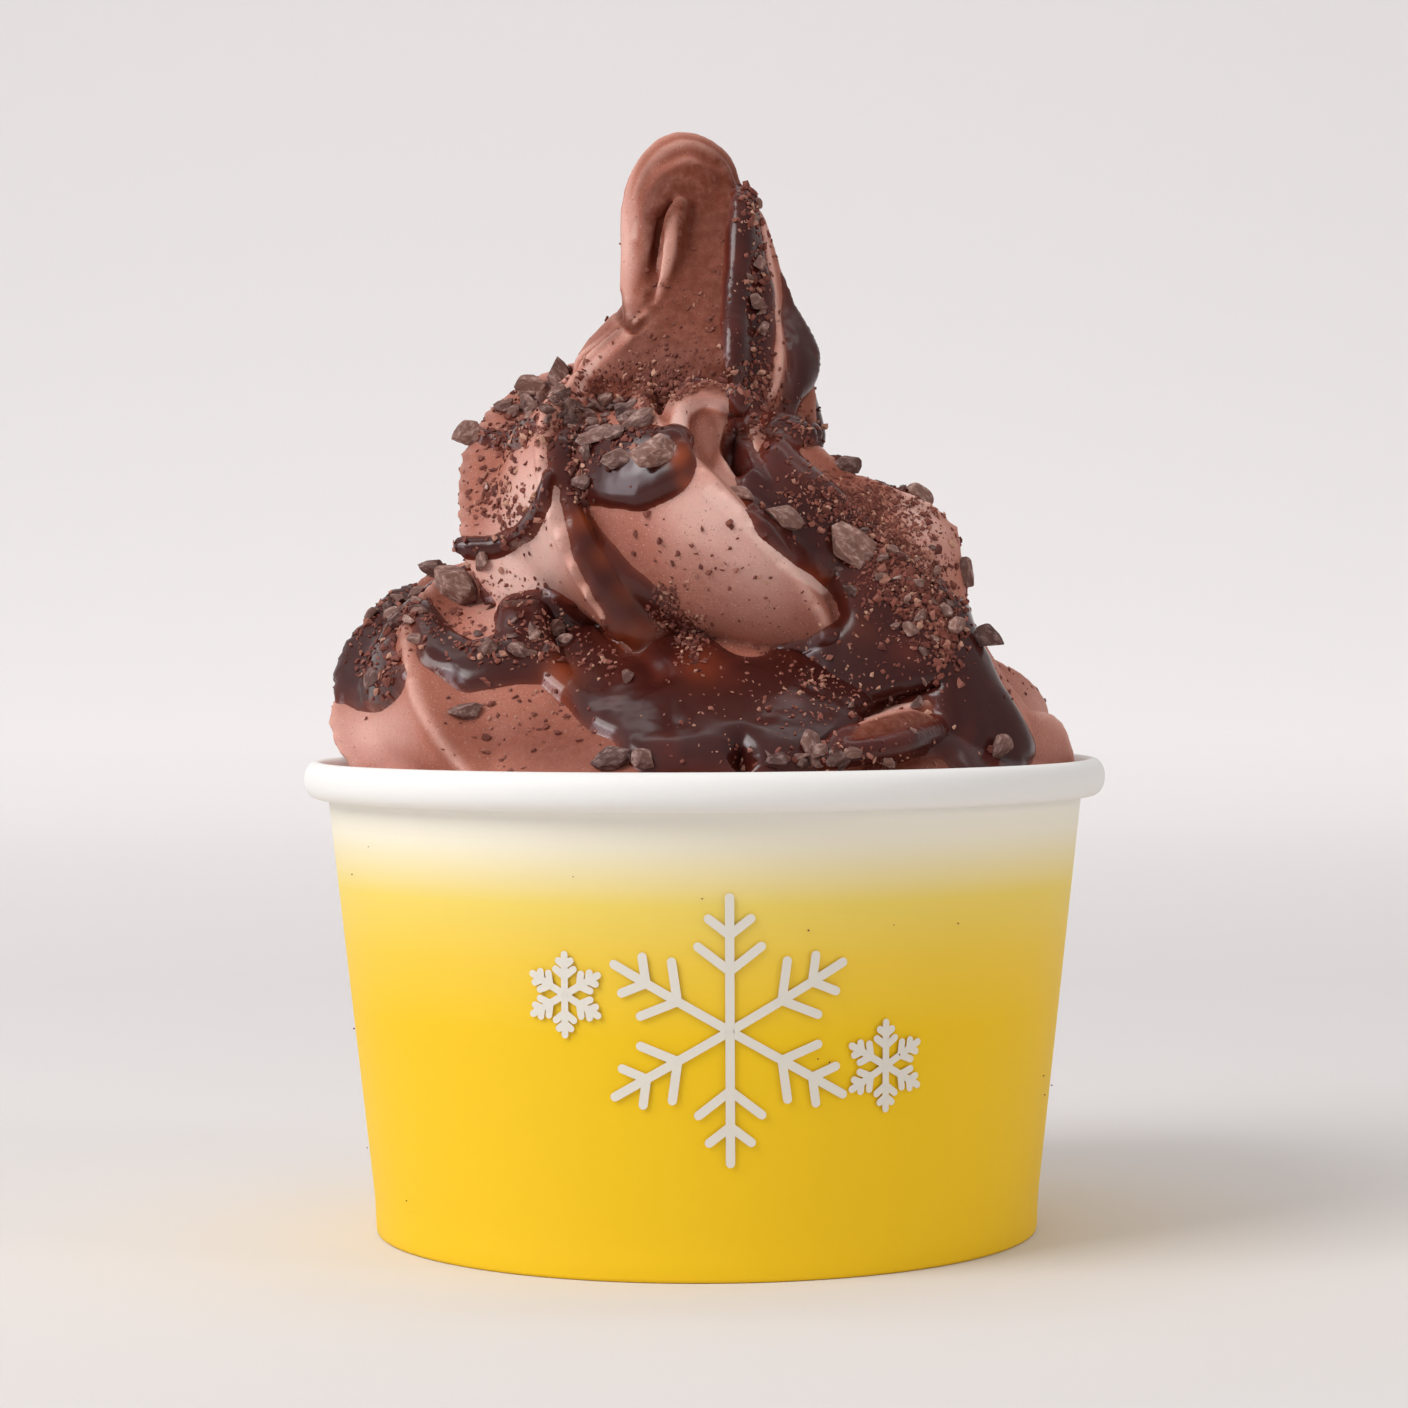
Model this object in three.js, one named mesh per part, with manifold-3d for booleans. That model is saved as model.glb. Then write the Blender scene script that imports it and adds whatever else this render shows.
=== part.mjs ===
/**
 * Chocolate soft serve in a round paper cup.
 *
 * Millimetres, +Z up. The origin is the centre of the cup's foot, on the table. The front, with the
 * widest runs of sauce, faces -Y.
 *
 * The cup is two pieces of paper: a conical sleeve with a rolled rim and a turned-in foot, and a
 * disc whose skirt hangs in the fold of that foot. The soft serve is one piece: a fluted rope that
 * climbs two turns from the cup, draws up into a column and falls over in a hook. Thick sauce and
 * cocoa nibs lie on it and are one solid with it.
 */
import * as THREE from 'three';
import { mergeVertices } from 'three/addons/utils/BufferGeometryUtils.js';
import Module from 'manifold-3d';

const wasm = await Module();
wasm.setup();

// ---- Driving dimensions -------------------------------------------------------------------------

const CUP = {
  height: 55.8,
  footRadius: 39.3,
  flare: 0.11, // outward run of the wall for each millimetre of height
  paper: 0.6,
  rimRadius: 47.5,
  rimHeight: 4.3,
  foldHeight: 5.4, // how far the turned-in foot reaches up
  skirtPaper: 0.5,
  discHeight: 6.2, // underside of the disc above the table
  clearance: 0.3, // between two pieces that touch
  sides: 48,
};

// The rope's stations: turn, reach of its middle from the axis, height of its middle, radius.
// Turn 0 is on the right (+X); the rope climbs by way of the front (-Y) and the left.
const ROPE = [
  [-0.5, 25, 30, 14],
  [-0.25, 27, 46, 15],
  [0, 27.6, 52.6, 16.4],
  [0.1, 28, 47, 16.2],
  [0.2, 28, 42, 16],
  [0.28, 27.6, 43, 16],
  [0.34, 27.4, 49.6, 16.2],
  [0.4, 26.8, 57.6, 17],
  [0.5, 26, 61.4, 17.6],
  [0.75, 22.5, 69, 16.2],
  [1, 14.6, 75.6, 16.8],
  [1.25, 15, 81, 16.8],
  [1.5, 12.8, 86, 17],
  [1.75, 9, 89.5, 15.5],
  [2, 4, 90, 13],
];
const ROPE_START = -0.5;
const ROPE_END = 1.95;
const ROPE_PIECES = 5;

// Where the first ridge of the rope lies on its round, in degrees above the outward direction.
const LOWER_FLUTES = {
  count: 5,
  depth: 0.16,
  groove: 0.3,
  roll: [[-0.5, -600], [0.3, 0], [0.344, 12], [0.365, 17], [0.386, 24], [0.408, 38], [0.444, 60], [1, 490]],
};
const UPPER_FLUTES = {
  count: 3,
  depth: 0.24,
  groove: 0.2,
  roll: [
    [0.7, -487],
    [1.062, -227],
    [1.229, -107],
    [1.306, -48],
    [1.348, 13],
    [1.375, 49],
    [1.472, 133],
    [1.605, 253],
    [2, 600],
  ],
};
const FLUTES_CHANGE = [0.7, 0.84]; // turns between which the lower flutes fade and the upper rise

// The column's stations: height, x, radius. It stands on the rope's last turn.
const COLUMN = [
  [80, -0.6, 13],
  [93, -0.6, 15],
  [98, -0.7, 15.2],
  [102, -1, 15.3],
  [105, -0.8, 14],
  [108.5, -0.2, 11.8],
  [112, 0.5, 9.9],
  [116, 1.2, 8],
  [119, 1.5, 6.8],
  [122, 1.6, 5.4],
  [124.6, 1.2, 3],
];

// The column's ridges: height, degrees round from the front (positive to the right).
const COLUMN_RIDGES = [
  [[80, -160], [100, -104], [102, -88], [105, -48], [108.5, -32], [124, -26]],
  [[80, -4], [97, 12], [120, 28]],
  [[80, 16], [99, 36], [108, 52], [118, 66], [124, 70]],
  [[80, 50], [99, 76], [124, 112]],
  [[80, 92], [99, 122], [124, 160]],
  [[80, 136], [99, 168], [124, 206]],
  [[80, 168], [99, 212], [124, 262]],
];
const COLUMN_DEPTH = 0.13;

// Tubes of soft serve and thick sauce, as x, y, z, radius.
const TUBES = [
  // the column's tip, which falls over to the left and hangs
  [
    [1.3, 0.4, 116, 5.4],
    [1.1, 0.2, 121, 5],
    [0, -0.2, 124.6, 4.5],
    [-2.6, -0.8, 126.4, 4],
    [-5.6, -1.4, 124.6, 3.2],
    [-7.3, -2, 121, 2.4],
    [-7.7, -3.2, 116.4, 2],
    [-8, -5.4, 112, 1.8],
    [-8.2, -7.6, 109, 1.1],
  ],
  // the tip's inner fold
  [
    [1, -2.4, 118, 3],
    [0, -3, 122, 2.4],
    [-2.6, -3.4, 123.7, 1.9],
    [-4.9, -3.6, 121.4, 1.5],
    [-5.5, -4.2, 117, 1.3],
    [-6, -5.6, 113, 1],
  ],
  // the lip where the front ridge curls over
  [
    [-2.8, -24, 90.5, 1.6],
    [-2.2, -22.6, 94.4, 2.2],
    [-0.2, -21, 96.7, 2.4],
    [2.6, -20, 96.6, 2.1],
    [4.2, -20, 94.2, 1.3],
  ],
  // the sauce that drapes over the front right
  [
    [13.6, -8, 81, 11.5],
    [17.6, -11, 75.5, 12.2],
    [19, -13, 68, 12.8],
    [22, -14, 60, 13.6],
    [24.4, -14, 53, 14],
  ],
  // a bare fold in the pool at the front right
  [
    [12.4, -38.6, 52, 2.4],
    [16.4, -37.2, 55.6, 3],
    [20.4, -35, 57.8, 3.2],
    [24, -32, 59, 2.6],
    [26, -29.6, 59, 1.4],
  ],
];

// What fills the cup, the pool on it and the heart of the coils: radius, height above the cup's inside.
const HEART = [[43.4, 53.6], [39, 58], [33, 62.6], [27, 66.8], [22, 70], [14, 73], [12, 80], [0, 80]];

// Where an onlooker stands, for marks given as seen on the upright plane through the axis.
const ONLOOKER = { distance: 420, height: 69.6 };

// Runs of sauce: the bearing round the cup that they are seen from, then x, z and half width as seen
// from there.
const SAUCE = [
  [0, [-37.6, 74.5, 2.2], [-40.2, 70, 3.2], [-40.2, 65.4, 4.3]],
  [0, [-33.4, 73, 1.6], [-31.6, 69, 2.6], [-28, 66.6, 2.9], [-23, 67.6, 3], [-18, 68.6, 3.6], [-11, 63.5, 5]],
  [0, [-22.5, 73, 2.4], [-18.5, 73, 3], [-14, 69, 3.6]],
  [0, [-19.2, 88, 1], [-19.8, 84.6, 1.3], [-22.6, 81.8, 1.4], [-30, 80.6, 1.2]],
  [0, [-26, 94.2, 0.9], [-23, 93.4, 1.1], [-20.6, 95.4, 0.9]],
  [0, [-15, 92.4, 3.4], [-10.5, 90.6, 5], [-5.6, 91, 4.6], [-3.8, 93.4, 2.4]],
  [0, [-16.7, 86.5, 0.7], [-14.4, 82, 1.5], [-11.4, 77, 2.4], [-7.6, 72.4, 3.4], [-3, 68, 4], [3, 62.5, 5]],
  [0, [8, 92, 1.8], [11.5, 88, 2.6], [16, 83.6, 3.2], [20, 78, 4.6], [23.5, 72, 6.4], [24, 66, 7]],
  [0, [-5, 59, 5.4], [4, 60.5, 6.6], [12, 61.5, 6.6], [20, 66, 5.4], [28, 64, 6], [31, 58, 6]],
  [0, [10.4, 64, 3], [10.4, 66.8, 2.4]],
  [0, [31, 73, 1.6], [32.4, 68, 2], [34, 62, 3], [37, 56.5, 3.2]],
  [0, [4, 121.5, 0.9], [5, 114, 1.9], [5.5, 107, 2.4], [5.8, 100, 2.4], [5.4, 96, 2]],
  [0, [9.2, 115, 0.8], [10.8, 109, 1.8], [11, 102, 2.4], [9.4, 94.6, 2.6]],
  [90, [-6, 88, 2], [-2, 80, 3], [4, 74, 4], [10, 68, 5], [12, 60, 6]],
  [90, [-24, 70, 3], [-22, 64, 4], [-20, 58, 5]],
  [90, [2, 112, 1.4], [4, 105, 2], [3, 98, 2.2]],
  [180, [-16, 90, 1.6], [-10, 83, 2.8], [-4, 77, 4], [2, 72, 4.6]],
  [180, [14, 84, 1.6], [19, 78, 2.6], [25, 72, 3.6], [29, 65, 4]],
  [180, [-28, 68, 3], [-30, 62, 4]],
  [270, [-10, 92, 1.6], [-4, 84, 2.8], [2, 78, 4]],
  [270, [18, 72, 2.4], [22, 66, 3.4], [24, 61, 4]],
];
const SAUCE_THICKNESS = 1.3;

// Single nibs: bearing, x, z, longest side.
const SINGLE_NIBS = [
  [0, -5.5, 92, 5.4],
  [0, -17.2, 102.2, 4.6],
  [0, -28, 93.8, 4.2],
  [0, -32.8, 76.6, 6.4],
  [0, -29.8, 75.4, 6],
  [0, -28, 61.2, 4.4],
  [0, 8.8, 84.7, 4.4],
  [0, 17, 81.7, 6.4],
  [0, 17.6, 90.2, 4.4],
  [0, 30.4, 77.5, 4],
  [0, 32.8, 68.6, 4.4],
  [0, 13.2, 57.8, 4],
];

// Patches of nibs: bearing, middle x and z, half spread in x and z, how many, longest side.
const NIB_PATCHES = [
  [0, -11, 95.4, 6.4, 3, 11, 4.2],
  [0, -20.5, 99, 4.5, 2, 7, 3.4],
  [0, -21.5, 69.6, 4.6, 1.8, 4, 3],
  [0, 6.6, 111.5, 0.3, 3.6, 3, 2.6],
  [90, 2, 84, 9, 5, 6, 4],
  [180, 2, 88, 10, 5, 8, 4],
  [180, -4, 70, 18, 5, 7, 3.8],
  [270, 0, 88, 9, 5, 5, 4],
];
const NIB_SHAPE = { width: 0.64, depth: 0.46, sunk: 0.1, uneven: 0.16 };

const ROPE_SIDES = 40;
const STEPS_PER_TURN = 60;
const COLUMN_SIDES = 42;
const COLUMN_STEPS = 26;
const TUBE_SIDES = 14;
const STEPS_PER_STATION = 4;
const FINISH = 0.14; // how far the finished faces may lie from the curves as stepped

// ---- Curves through stations --------------------------------------------------------------------

const radians = THREE.MathUtils.degToRad;

// The value in a column of the stations at t, on a smooth curve through them.
function along(stations, t, column = 1) {
  const last = stations.length - 1;
  let i = 0;
  while (i < last - 1 && t > stations[i + 1][0]) i += 1;
  const slope = (k) => {
    const before = stations[Math.max(k - 1, 0)];
    const after = stations[Math.min(k + 1, last)];
    return (after[column] - before[column]) / (after[0] - before[0]);
  };
  const [from, to] = [stations[i], stations[i + 1]];
  const width = to[0] - from[0];
  const s = THREE.MathUtils.clamp((t - from[0]) / width, 0, 1);
  const rise = s * s * (3 - 2 * s);
  const ease = s * (1 - s) * width;
  return from[column] * (1 - rise) + to[column] * rise + ease * ((1 - s) * slope(i) - s * slope(i + 1));
}

const innerWall = (z) => CUP.footRadius + CUP.flare * z - CUP.paper;

// ---- Sauce thickness ----------------------------------------------------------------------------

// A point as the onlooker at a bearing sees it: its mark on the upright plane through the axis.
function seenFrom(bearing, point) {
  const turned = point.clone().applyAxisAngle(new THREE.Vector3(0, 0, 1), radians(bearing));
  const scale = ONLOOKER.distance / (ONLOOKER.distance + turned.y);
  return { x: turned.x * scale, z: ONLOOKER.height + (turned.z - ONLOOKER.height) * scale };
}

// How far inside a run a mark lies, from 0 at its edge to 1 on its middle line.
function insideRun(run, mark) {
  let most = 0;
  for (let i = 0; i + 1 < run.length; i += 1) {
    const [ax, az, aw] = run[i];
    const [bx, bz, bw] = run[i + 1];
    const length2 = (bx - ax) ** 2 + (bz - az) ** 2;
    const t = THREE.MathUtils.clamp(((mark.x - ax) * (bx - ax) + (mark.z - az) * (bz - az)) / length2, 0, 1);
    const gap = Math.hypot(mark.x - ax - t * (bx - ax), mark.z - az - t * (bz - az));
    most = Math.max(most, 1 - gap / (aw + t * (bw - aw)));
  }
  return most;
}

// Thickness of the sauce at a point of the soft serve whose surface faces the given way.
function sauceAt(point, facing) {
  let thickness = 0;
  for (const [bearing, ...run] of SAUCE) {
    const toOnlooker = new THREE.Vector3(-Math.sin(radians(bearing)), -Math.cos(radians(bearing)), 0);
    if (facing.dot(toOnlooker) < 0.05) continue;
    const inside = insideRun(run, seenFrom(bearing, point));
    thickness = Math.max(thickness, SAUCE_THICKNESS * Math.sqrt(Math.min(1, 2.2 * inside)));
  }
  return thickness;
}

// ---- Fluted sections ----------------------------------------------------------------------------

// Height of a flute's surface between its groove (0) and the ridges at both ends (1).
function fluteHeight(share, groove) {
  return share < groove ? (1 - share / groove) ** 1.6 : ((share - groove) / (1 - groove)) ** 1.7;
}

const shareOf = (angle, first, count) => THREE.MathUtils.euclideanModulo(((angle - first) * count) / 360, 1);

function ropeRadius(turn, angle) {
  const change = THREE.MathUtils.smoothstep(turn, ...FLUTES_CHANGE);
  const cut = (flutes, weight) => {
    const share = shareOf(angle, along(flutes.roll, turn), flutes.count);
    return weight * flutes.depth * (1 - fluteHeight(share, flutes.groove));
  };
  return along(ROPE, turn, 3) * (1 - cut(LOWER_FLUTES, 1 - change) - cut(UPPER_FLUTES, change));
}

// One ring of the rope, in the upright plane through the axis at that turn.
function ropeRing(turn) {
  const bearing = radians(-360 * turn);
  const outward = new THREE.Vector3(Math.cos(bearing), Math.sin(bearing), 0);
  const ring = [];
  for (let i = 0; i < ROPE_SIDES; i += 1) {
    const angle = (360 * i) / ROPE_SIDES;
    const facing = outward.clone().multiplyScalar(Math.cos(radians(angle)));
    facing.z = Math.sin(radians(angle));
    const at = (radius) => {
      const z = along(ROPE, turn, 2) + radius * Math.sin(radians(angle));
      const reach = Math.max(along(ROPE, turn, 1) + radius * Math.cos(radians(angle)), 0.4);
      return outward.clone().multiplyScalar(reach).setZ(z);
    };
    const bare = ropeRadius(turn, angle);
    ring.push(at(bare + sauceAt(at(bare), facing)));
  }
  return ring;
}

// Depth of the groove between two of the column's ridges, from 0 at a ridge to 1.
function columnGroove(height, angle) {
  const ridges = COLUMN_RIDGES.map((stations) => THREE.MathUtils.euclideanModulo(along(stations, height), 360));
  const gap = (ridge, way) => THREE.MathUtils.euclideanModulo(way * (angle - ridge), 360);
  const behind = Math.min(...ridges.map((ridge) => gap(ridge, 1)));
  const ahead = Math.min(...ridges.map((ridge) => gap(ridge, -1)));
  const share = behind / Math.max(behind + ahead, 1e-6);
  return 1 - Math.abs(2 * share - 1) ** 1.7;
}

// One level ring of the column.
function columnRing(height) {
  const middle = new THREE.Vector3(along(COLUMN, height, 1), 0, height);
  const ring = [];
  for (let i = 0; i < COLUMN_SIDES; i += 1) {
    const angle = (360 * i) / COLUMN_SIDES;
    const facing = new THREE.Vector3(Math.cos(radians(angle)), Math.sin(radians(angle)), 0);
    const bare = along(COLUMN, height, 2) * (1 - COLUMN_DEPTH * columnGroove(height, angle + 90));
    const point = middle.clone().addScaledVector(facing, bare);
    ring.push(point.addScaledVector(facing, sauceAt(point, facing)));
  }
  return ring;
}

// ---- Solids -------------------------------------------------------------------------------------

// A closed mesh through rings of equal count, with a middle point in each end.
function skin(rings) {
  const sides = rings[0].length;
  const points = rings.flat();
  const middleOf = (ring) => ring.reduce((sum, p) => sum.add(p), new THREE.Vector3()).divideScalar(sides);
  points.push(middleOf(rings[0]), middleOf(rings[rings.length - 1]));
  const faces = [];
  for (let i = 0; i < sides; i += 1) {
    const next = (i + 1) % sides;
    faces.push(points.length - 2, next, i);
    const end = (rings.length - 1) * sides;
    faces.push(points.length - 1, end + i, end + next);
    for (let r = 0; r + 1 < rings.length; r += 1) {
      const [low, high] = [r * sides, (r + 1) * sides];
      faces.push(low + i, low + next, high + next, low + i, high + next, high + i);
    }
  }
  const geometry = new THREE.BufferGeometry().setFromPoints(points);
  geometry.setIndex(faces);
  return geometry;
}

function solid(geometry, tolerance = 1e-4) {
  const bare = geometry.clone();
  bare.deleteAttribute('normal');
  bare.deleteAttribute('uv');
  const merged = mergeVertices(bare, tolerance);
  const made = (triVerts) =>
    new wasm.Manifold(new wasm.Mesh({ numProp: 3, vertProperties: merged.attributes.position.array, triVerts }));
  const triangles = new Uint32Array(merged.index.array);
  const first = made(triangles);
  return first.volume() > 0 ? first : made(triangles.reverse());
}

function geometryOf(manifold) {
  const { vertProperties, triVerts } = manifold.getMesh();
  const geometry = new THREE.BufferGeometry();
  geometry.setAttribute('position', new THREE.BufferAttribute(vertProperties, 3));
  geometry.setIndex(new THREE.BufferAttribute(triVerts, 1));
  return geometry;
}

// The largest of a solid's bodies: loose scraps and sealed hollows are dropped.
function largest(manifold) {
  return manifold.decompose().sort((a, b) => b.volume() - a.volume())[0];
}

// A ring of material round the axis, or a solid of revolution, from a profile of [radius, height].
function turned(profile) {
  const points = profile.map(([r, z]) => new THREE.Vector2(r, z));
  return new THREE.LatheGeometry(points, CUP.sides).rotateX(Math.PI / 2);
}

function ropeSolid() {
  const steps = Math.round((ROPE_END - ROPE_START) * STEPS_PER_TURN);
  const turnAt = (step) => ROPE_START + ((ROPE_END - ROPE_START) * step) / steps;
  const pieces = [];
  for (let i = 0; i < ROPE_PIECES; i += 1) {
    const first = Math.round((steps * i) / ROPE_PIECES);
    const last = Math.round((steps * (i + 1)) / ROPE_PIECES);
    const rings = [];
    for (let step = first; step <= last; step += 1) rings.push(ropeRing(turnAt(step)));
    pieces.push(solid(skin(rings)));
  }
  return wasm.Manifold.union(pieces);
}

function columnSolid() {
  const [low, high] = [COLUMN[0][0], COLUMN[COLUMN.length - 1][0]];
  const rings = [];
  for (let i = 0; i <= COLUMN_STEPS; i += 1) rings.push(columnRing(low + ((high - low) * i) / COLUMN_STEPS));
  return solid(skin(rings));
}

// A tube through stations of x, y, z, radius.
function tubeSolid(stations) {
  const steps = STEPS_PER_STATION * (stations.length - 1);
  const curve = new THREE.CatmullRomCurve3(stations.map(([x, y, z]) => new THREE.Vector3(x, y, z)));
  const frames = curve.computeFrenetFrames(steps);
  const keyed = stations.map((station, i) => [i / (stations.length - 1), station[3]]);
  const rings = [];
  for (let step = 0; step <= steps; step += 1) {
    const middle = curve.getPointAt(step / steps);
    const radius = along(keyed, curve.getUtoTmapping(step / steps));
    const ring = [];
    for (let i = 0; i < TUBE_SIDES; i += 1) {
      const angle = (2 * Math.PI * i) / TUBE_SIDES;
      const across = frames.normals[step].clone().multiplyScalar(Math.cos(angle));
      across.addScaledVector(frames.binormals[step], Math.sin(angle));
      ring.push(middle.clone().addScaledVector(across, radius));
    }
    rings.push(ring);
  }
  return solid(skin(rings));
}

// What fills the cup, the pool on it and the heart that the coils close round.
function heartSolid() {
  const bottom = CUP.discHeight + CUP.skirtPaper + CUP.clearance;
  const side = innerWall(bottom) - CUP.clearance;
  return solid(turned([[0, bottom], [side, bottom], ...HEART]));
}

// The space that the cup takes, with its clearance, which the soft serve stays out of.
function cupSpace() {
  const rim = CUP.height + CUP.clearance;
  const side = (z) => innerWall(z) - CUP.clearance;
  const outside = CUP.rimRadius + 10;
  return solid(turned([[side(0), 0], [outside, 0], [outside, rim], [side(rim), rim], [side(0), 0]]));
}

// ---- Nibs ---------------------------------------------------------------------------------------

// A repeatable number from 0 to 1.
function chance(seed) {
  const value = Math.sin(seed * 127.1 + 11.7) * 43758.5453;
  return value - Math.floor(value);
}

// Where the sight line from the onlooker through a mark first meets the surface, and its normal.
function sightedOn(surface, bearing, x, z) {
  const up = new THREE.Vector3(0, 0, 1);
  const turn = radians(-bearing);
  const eye = new THREE.Vector3(0, -ONLOOKER.distance, ONLOOKER.height).applyAxisAngle(up, turn);
  const mark = new THREE.Vector3(x, 0, z).applyAxisAngle(up, turn);
  const [hit] = new THREE.Raycaster(eye, mark.sub(eye).normalize()).intersectObject(surface);
  return hit && { point: hit.point, normal: hit.face.normal };
}

function nibSolid(place, size, seed) {
  const geometry = new THREE.IcosahedronGeometry(size / 2, 0);
  const merged = mergeVertices(geometry.deleteAttribute('normal').deleteAttribute('uv'), 1e-4);
  const corners = merged.attributes.position;
  for (let i = 0; i < corners.count; i += 1) {
    const uneven = (axis) => 1 + NIB_SHAPE.uneven * (2 * chance(seed * 40 + i * 3 + axis) - 1);
    corners.setXYZ(
      i,
      corners.getX(i) * uneven(0),
      corners.getY(i) * uneven(1) * NIB_SHAPE.width,
      corners.getZ(i) * uneven(2) * NIB_SHAPE.depth,
    );
  }
  const flat = new THREE.Quaternion().setFromUnitVectors(new THREE.Vector3(0, 0, 1), place.normal);
  const spin = new THREE.Quaternion().setFromAxisAngle(new THREE.Vector3(0, 0, 1), chance(seed) * Math.PI);
  merged.applyQuaternion(flat.multiply(spin));
  const lift = size * (NIB_SHAPE.depth / 2 - NIB_SHAPE.sunk);
  const middle = place.point.clone().addScaledVector(place.normal, lift);
  merged.translate(middle.x, middle.y, middle.z);
  return solid(merged);
}

// The marks of all the nibs, as bearing, x, z, longest side. A patch's are spread by the golden angle.
function nibMarks() {
  const goldenAngle = Math.PI * (3 - Math.sqrt(5));
  const marks = [...SINGLE_NIBS];
  for (const [bearing, x, z, spreadX, spreadZ, count, size] of NIB_PATCHES) {
    for (let i = 0; i < count; i += 1) {
      const out = Math.sqrt((i + 0.5) / count);
      const side = size * (0.8 + 0.4 * chance(x + z + i));
      const [across, up] = [Math.cos(goldenAngle * i), Math.sin(goldenAngle * i)];
      marks.push([bearing, x + spreadX * out * across, z + spreadZ * out * up, side]);
    }
  }
  return marks;
}

function softServe() {
  const body = wasm.Manifold.union([
    heartSolid(),
    ropeSolid(),
    columnSolid(),
    ...TUBES.map(tubeSolid),
  ]);
  const surface = new THREE.Mesh(geometryOf(body));
  const nibs = [];
  for (const [i, [bearing, x, z, size]] of nibMarks().entries()) {
    const place = sightedOn(surface, bearing, x, z);
    if (place) nibs.push(nibSolid(place, size, i + 1));
  }
  const whole = wasm.Manifold.union([body, ...nibs]).subtract(cupSpace()).simplify(FINISH);
  return geometryOf(largest(solid(geometryOf(largest(whole)), 1e-3)));
}

// ---- Cup ----------------------------------------------------------------------------------------

// The sleeve: a wall with a rolled rim, turned in and up at the foot round the disc's skirt.
function sleeve() {
  const outer = (z) => CUP.footRadius + CUP.flare * z;
  const fold = CUP.skirtPaper + 2 * CUP.clearance;
  const inside = (z) => innerWall(z) - fold;
  const channelFloor = CUP.paper;
  const rollMiddle = CUP.height - CUP.rimHeight / 2;
  const rollInner = innerWall(rollMiddle);
  const rollHalf = { r: (CUP.rimRadius - rollInner) / 2, z: CUP.rimHeight / 2 };
  const roll = [];
  for (const degrees of [180, 150, 120, 90, 60, 30, 0, -30, -60, -90]) {
    const [c, s] = [Math.cos(radians(degrees)), Math.sin(radians(degrees))];
    roll.push([rollInner + rollHalf.r * (1 + c), rollMiddle + rollHalf.z * s]);
  }
  const underRoll = rollMiddle - rollHalf.z * 0.8;
  const profile = [
    [outer(0), 0],
    [outer(0.3), 0.3],
    [outer(underRoll), underRoll],
    ...roll.reverse(),
    [innerWall(CUP.discHeight), CUP.discHeight],
    [innerWall(channelFloor), channelFloor],
    [inside(channelFloor), channelFloor],
    [inside(CUP.foldHeight), CUP.foldHeight],
    [inside(CUP.foldHeight) - CUP.paper, CUP.foldHeight],
    [inside(0) - CUP.paper, 0],
    [outer(0), 0],
  ];
  return turned(profile);
}

// The disc that closes the cup, with its skirt hanging in the fold of the sleeve's foot.
function disc() {
  const edge = (z) => innerWall(z) - CUP.clearance;
  const top = CUP.discHeight + CUP.skirtPaper;
  const skirtEnd = CUP.paper + CUP.clearance;
  const inner = (z) => edge(z) - CUP.skirtPaper;
  return turned([
    [0, CUP.discHeight],
    [inner(CUP.discHeight), CUP.discHeight],
    [inner(skirtEnd), skirtEnd],
    [edge(skirtEnd), skirtEnd],
    [edge(top), top],
    [0, top],
  ]);
}

// ---- The object ---------------------------------------------------------------------------------

const paper = new THREE.MeshStandardMaterial({ color: 0xf2c52a, roughness: 0.55, metalness: 0 });
const board = new THREE.MeshStandardMaterial({ color: 0xf4f2ee, roughness: 0.6, metalness: 0 });
const chocolate = new THREE.MeshStandardMaterial({ color: 0xa06a5a, roughness: 0.45, metalness: 0 });

function piece(name, geometry, material) {
  const mesh = new THREE.Mesh(geometryOf(solid(geometry)), material);
  mesh.name = name;
  return mesh;
}

const cup = new THREE.Group();
cup.add(piece('cup_sleeve', sleeve(), paper));
cup.add(piece('cup_disc', disc(), board));
cup.add(piece('soft_serve', softServe(), chocolate));

export default cup;
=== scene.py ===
"""Looks of a paper cup of chocolate soft serve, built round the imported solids.

Lengths are millimetres in the row frame, +Z up, with the front at -Y, and turn into metres where a mesh is
made. The swirl repeats the solids' own stations at a finer step. Sauce, nibs and crumbs are placed by marks:
x, z on the upright plane through the cup's axis, as an onlooker sees them whose bearing is 0 in front, 90 at
the left, 180 behind and 270 at the right.
"""

import math

import bpy
import numpy as np
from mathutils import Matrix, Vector, noise
from mathutils.bvhtree import BVHTree


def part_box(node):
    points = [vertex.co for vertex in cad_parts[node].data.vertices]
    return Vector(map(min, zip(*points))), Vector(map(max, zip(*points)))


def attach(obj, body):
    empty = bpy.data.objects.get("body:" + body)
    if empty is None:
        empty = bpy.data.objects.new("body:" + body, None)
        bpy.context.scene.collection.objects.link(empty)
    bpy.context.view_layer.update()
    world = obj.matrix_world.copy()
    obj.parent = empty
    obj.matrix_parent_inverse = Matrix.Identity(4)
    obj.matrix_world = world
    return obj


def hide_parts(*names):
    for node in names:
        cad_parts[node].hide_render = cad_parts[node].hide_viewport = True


MM = 0.001

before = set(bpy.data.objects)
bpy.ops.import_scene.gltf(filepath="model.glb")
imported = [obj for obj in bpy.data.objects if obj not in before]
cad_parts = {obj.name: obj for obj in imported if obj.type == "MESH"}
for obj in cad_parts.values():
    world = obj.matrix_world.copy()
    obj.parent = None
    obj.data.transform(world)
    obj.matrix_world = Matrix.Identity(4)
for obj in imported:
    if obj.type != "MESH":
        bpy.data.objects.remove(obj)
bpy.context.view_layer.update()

_, sleeve_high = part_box("cup_sleeve")
_, disc_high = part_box("cup_disc")
CUP_HEIGHT = sleeve_high.z / MM
RIM_RADIUS = sleeve_high.x / MM
DISC_TOP = disc_high.z / MM

# ---- Sizes of the cup that its box doesn't give ----

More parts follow.
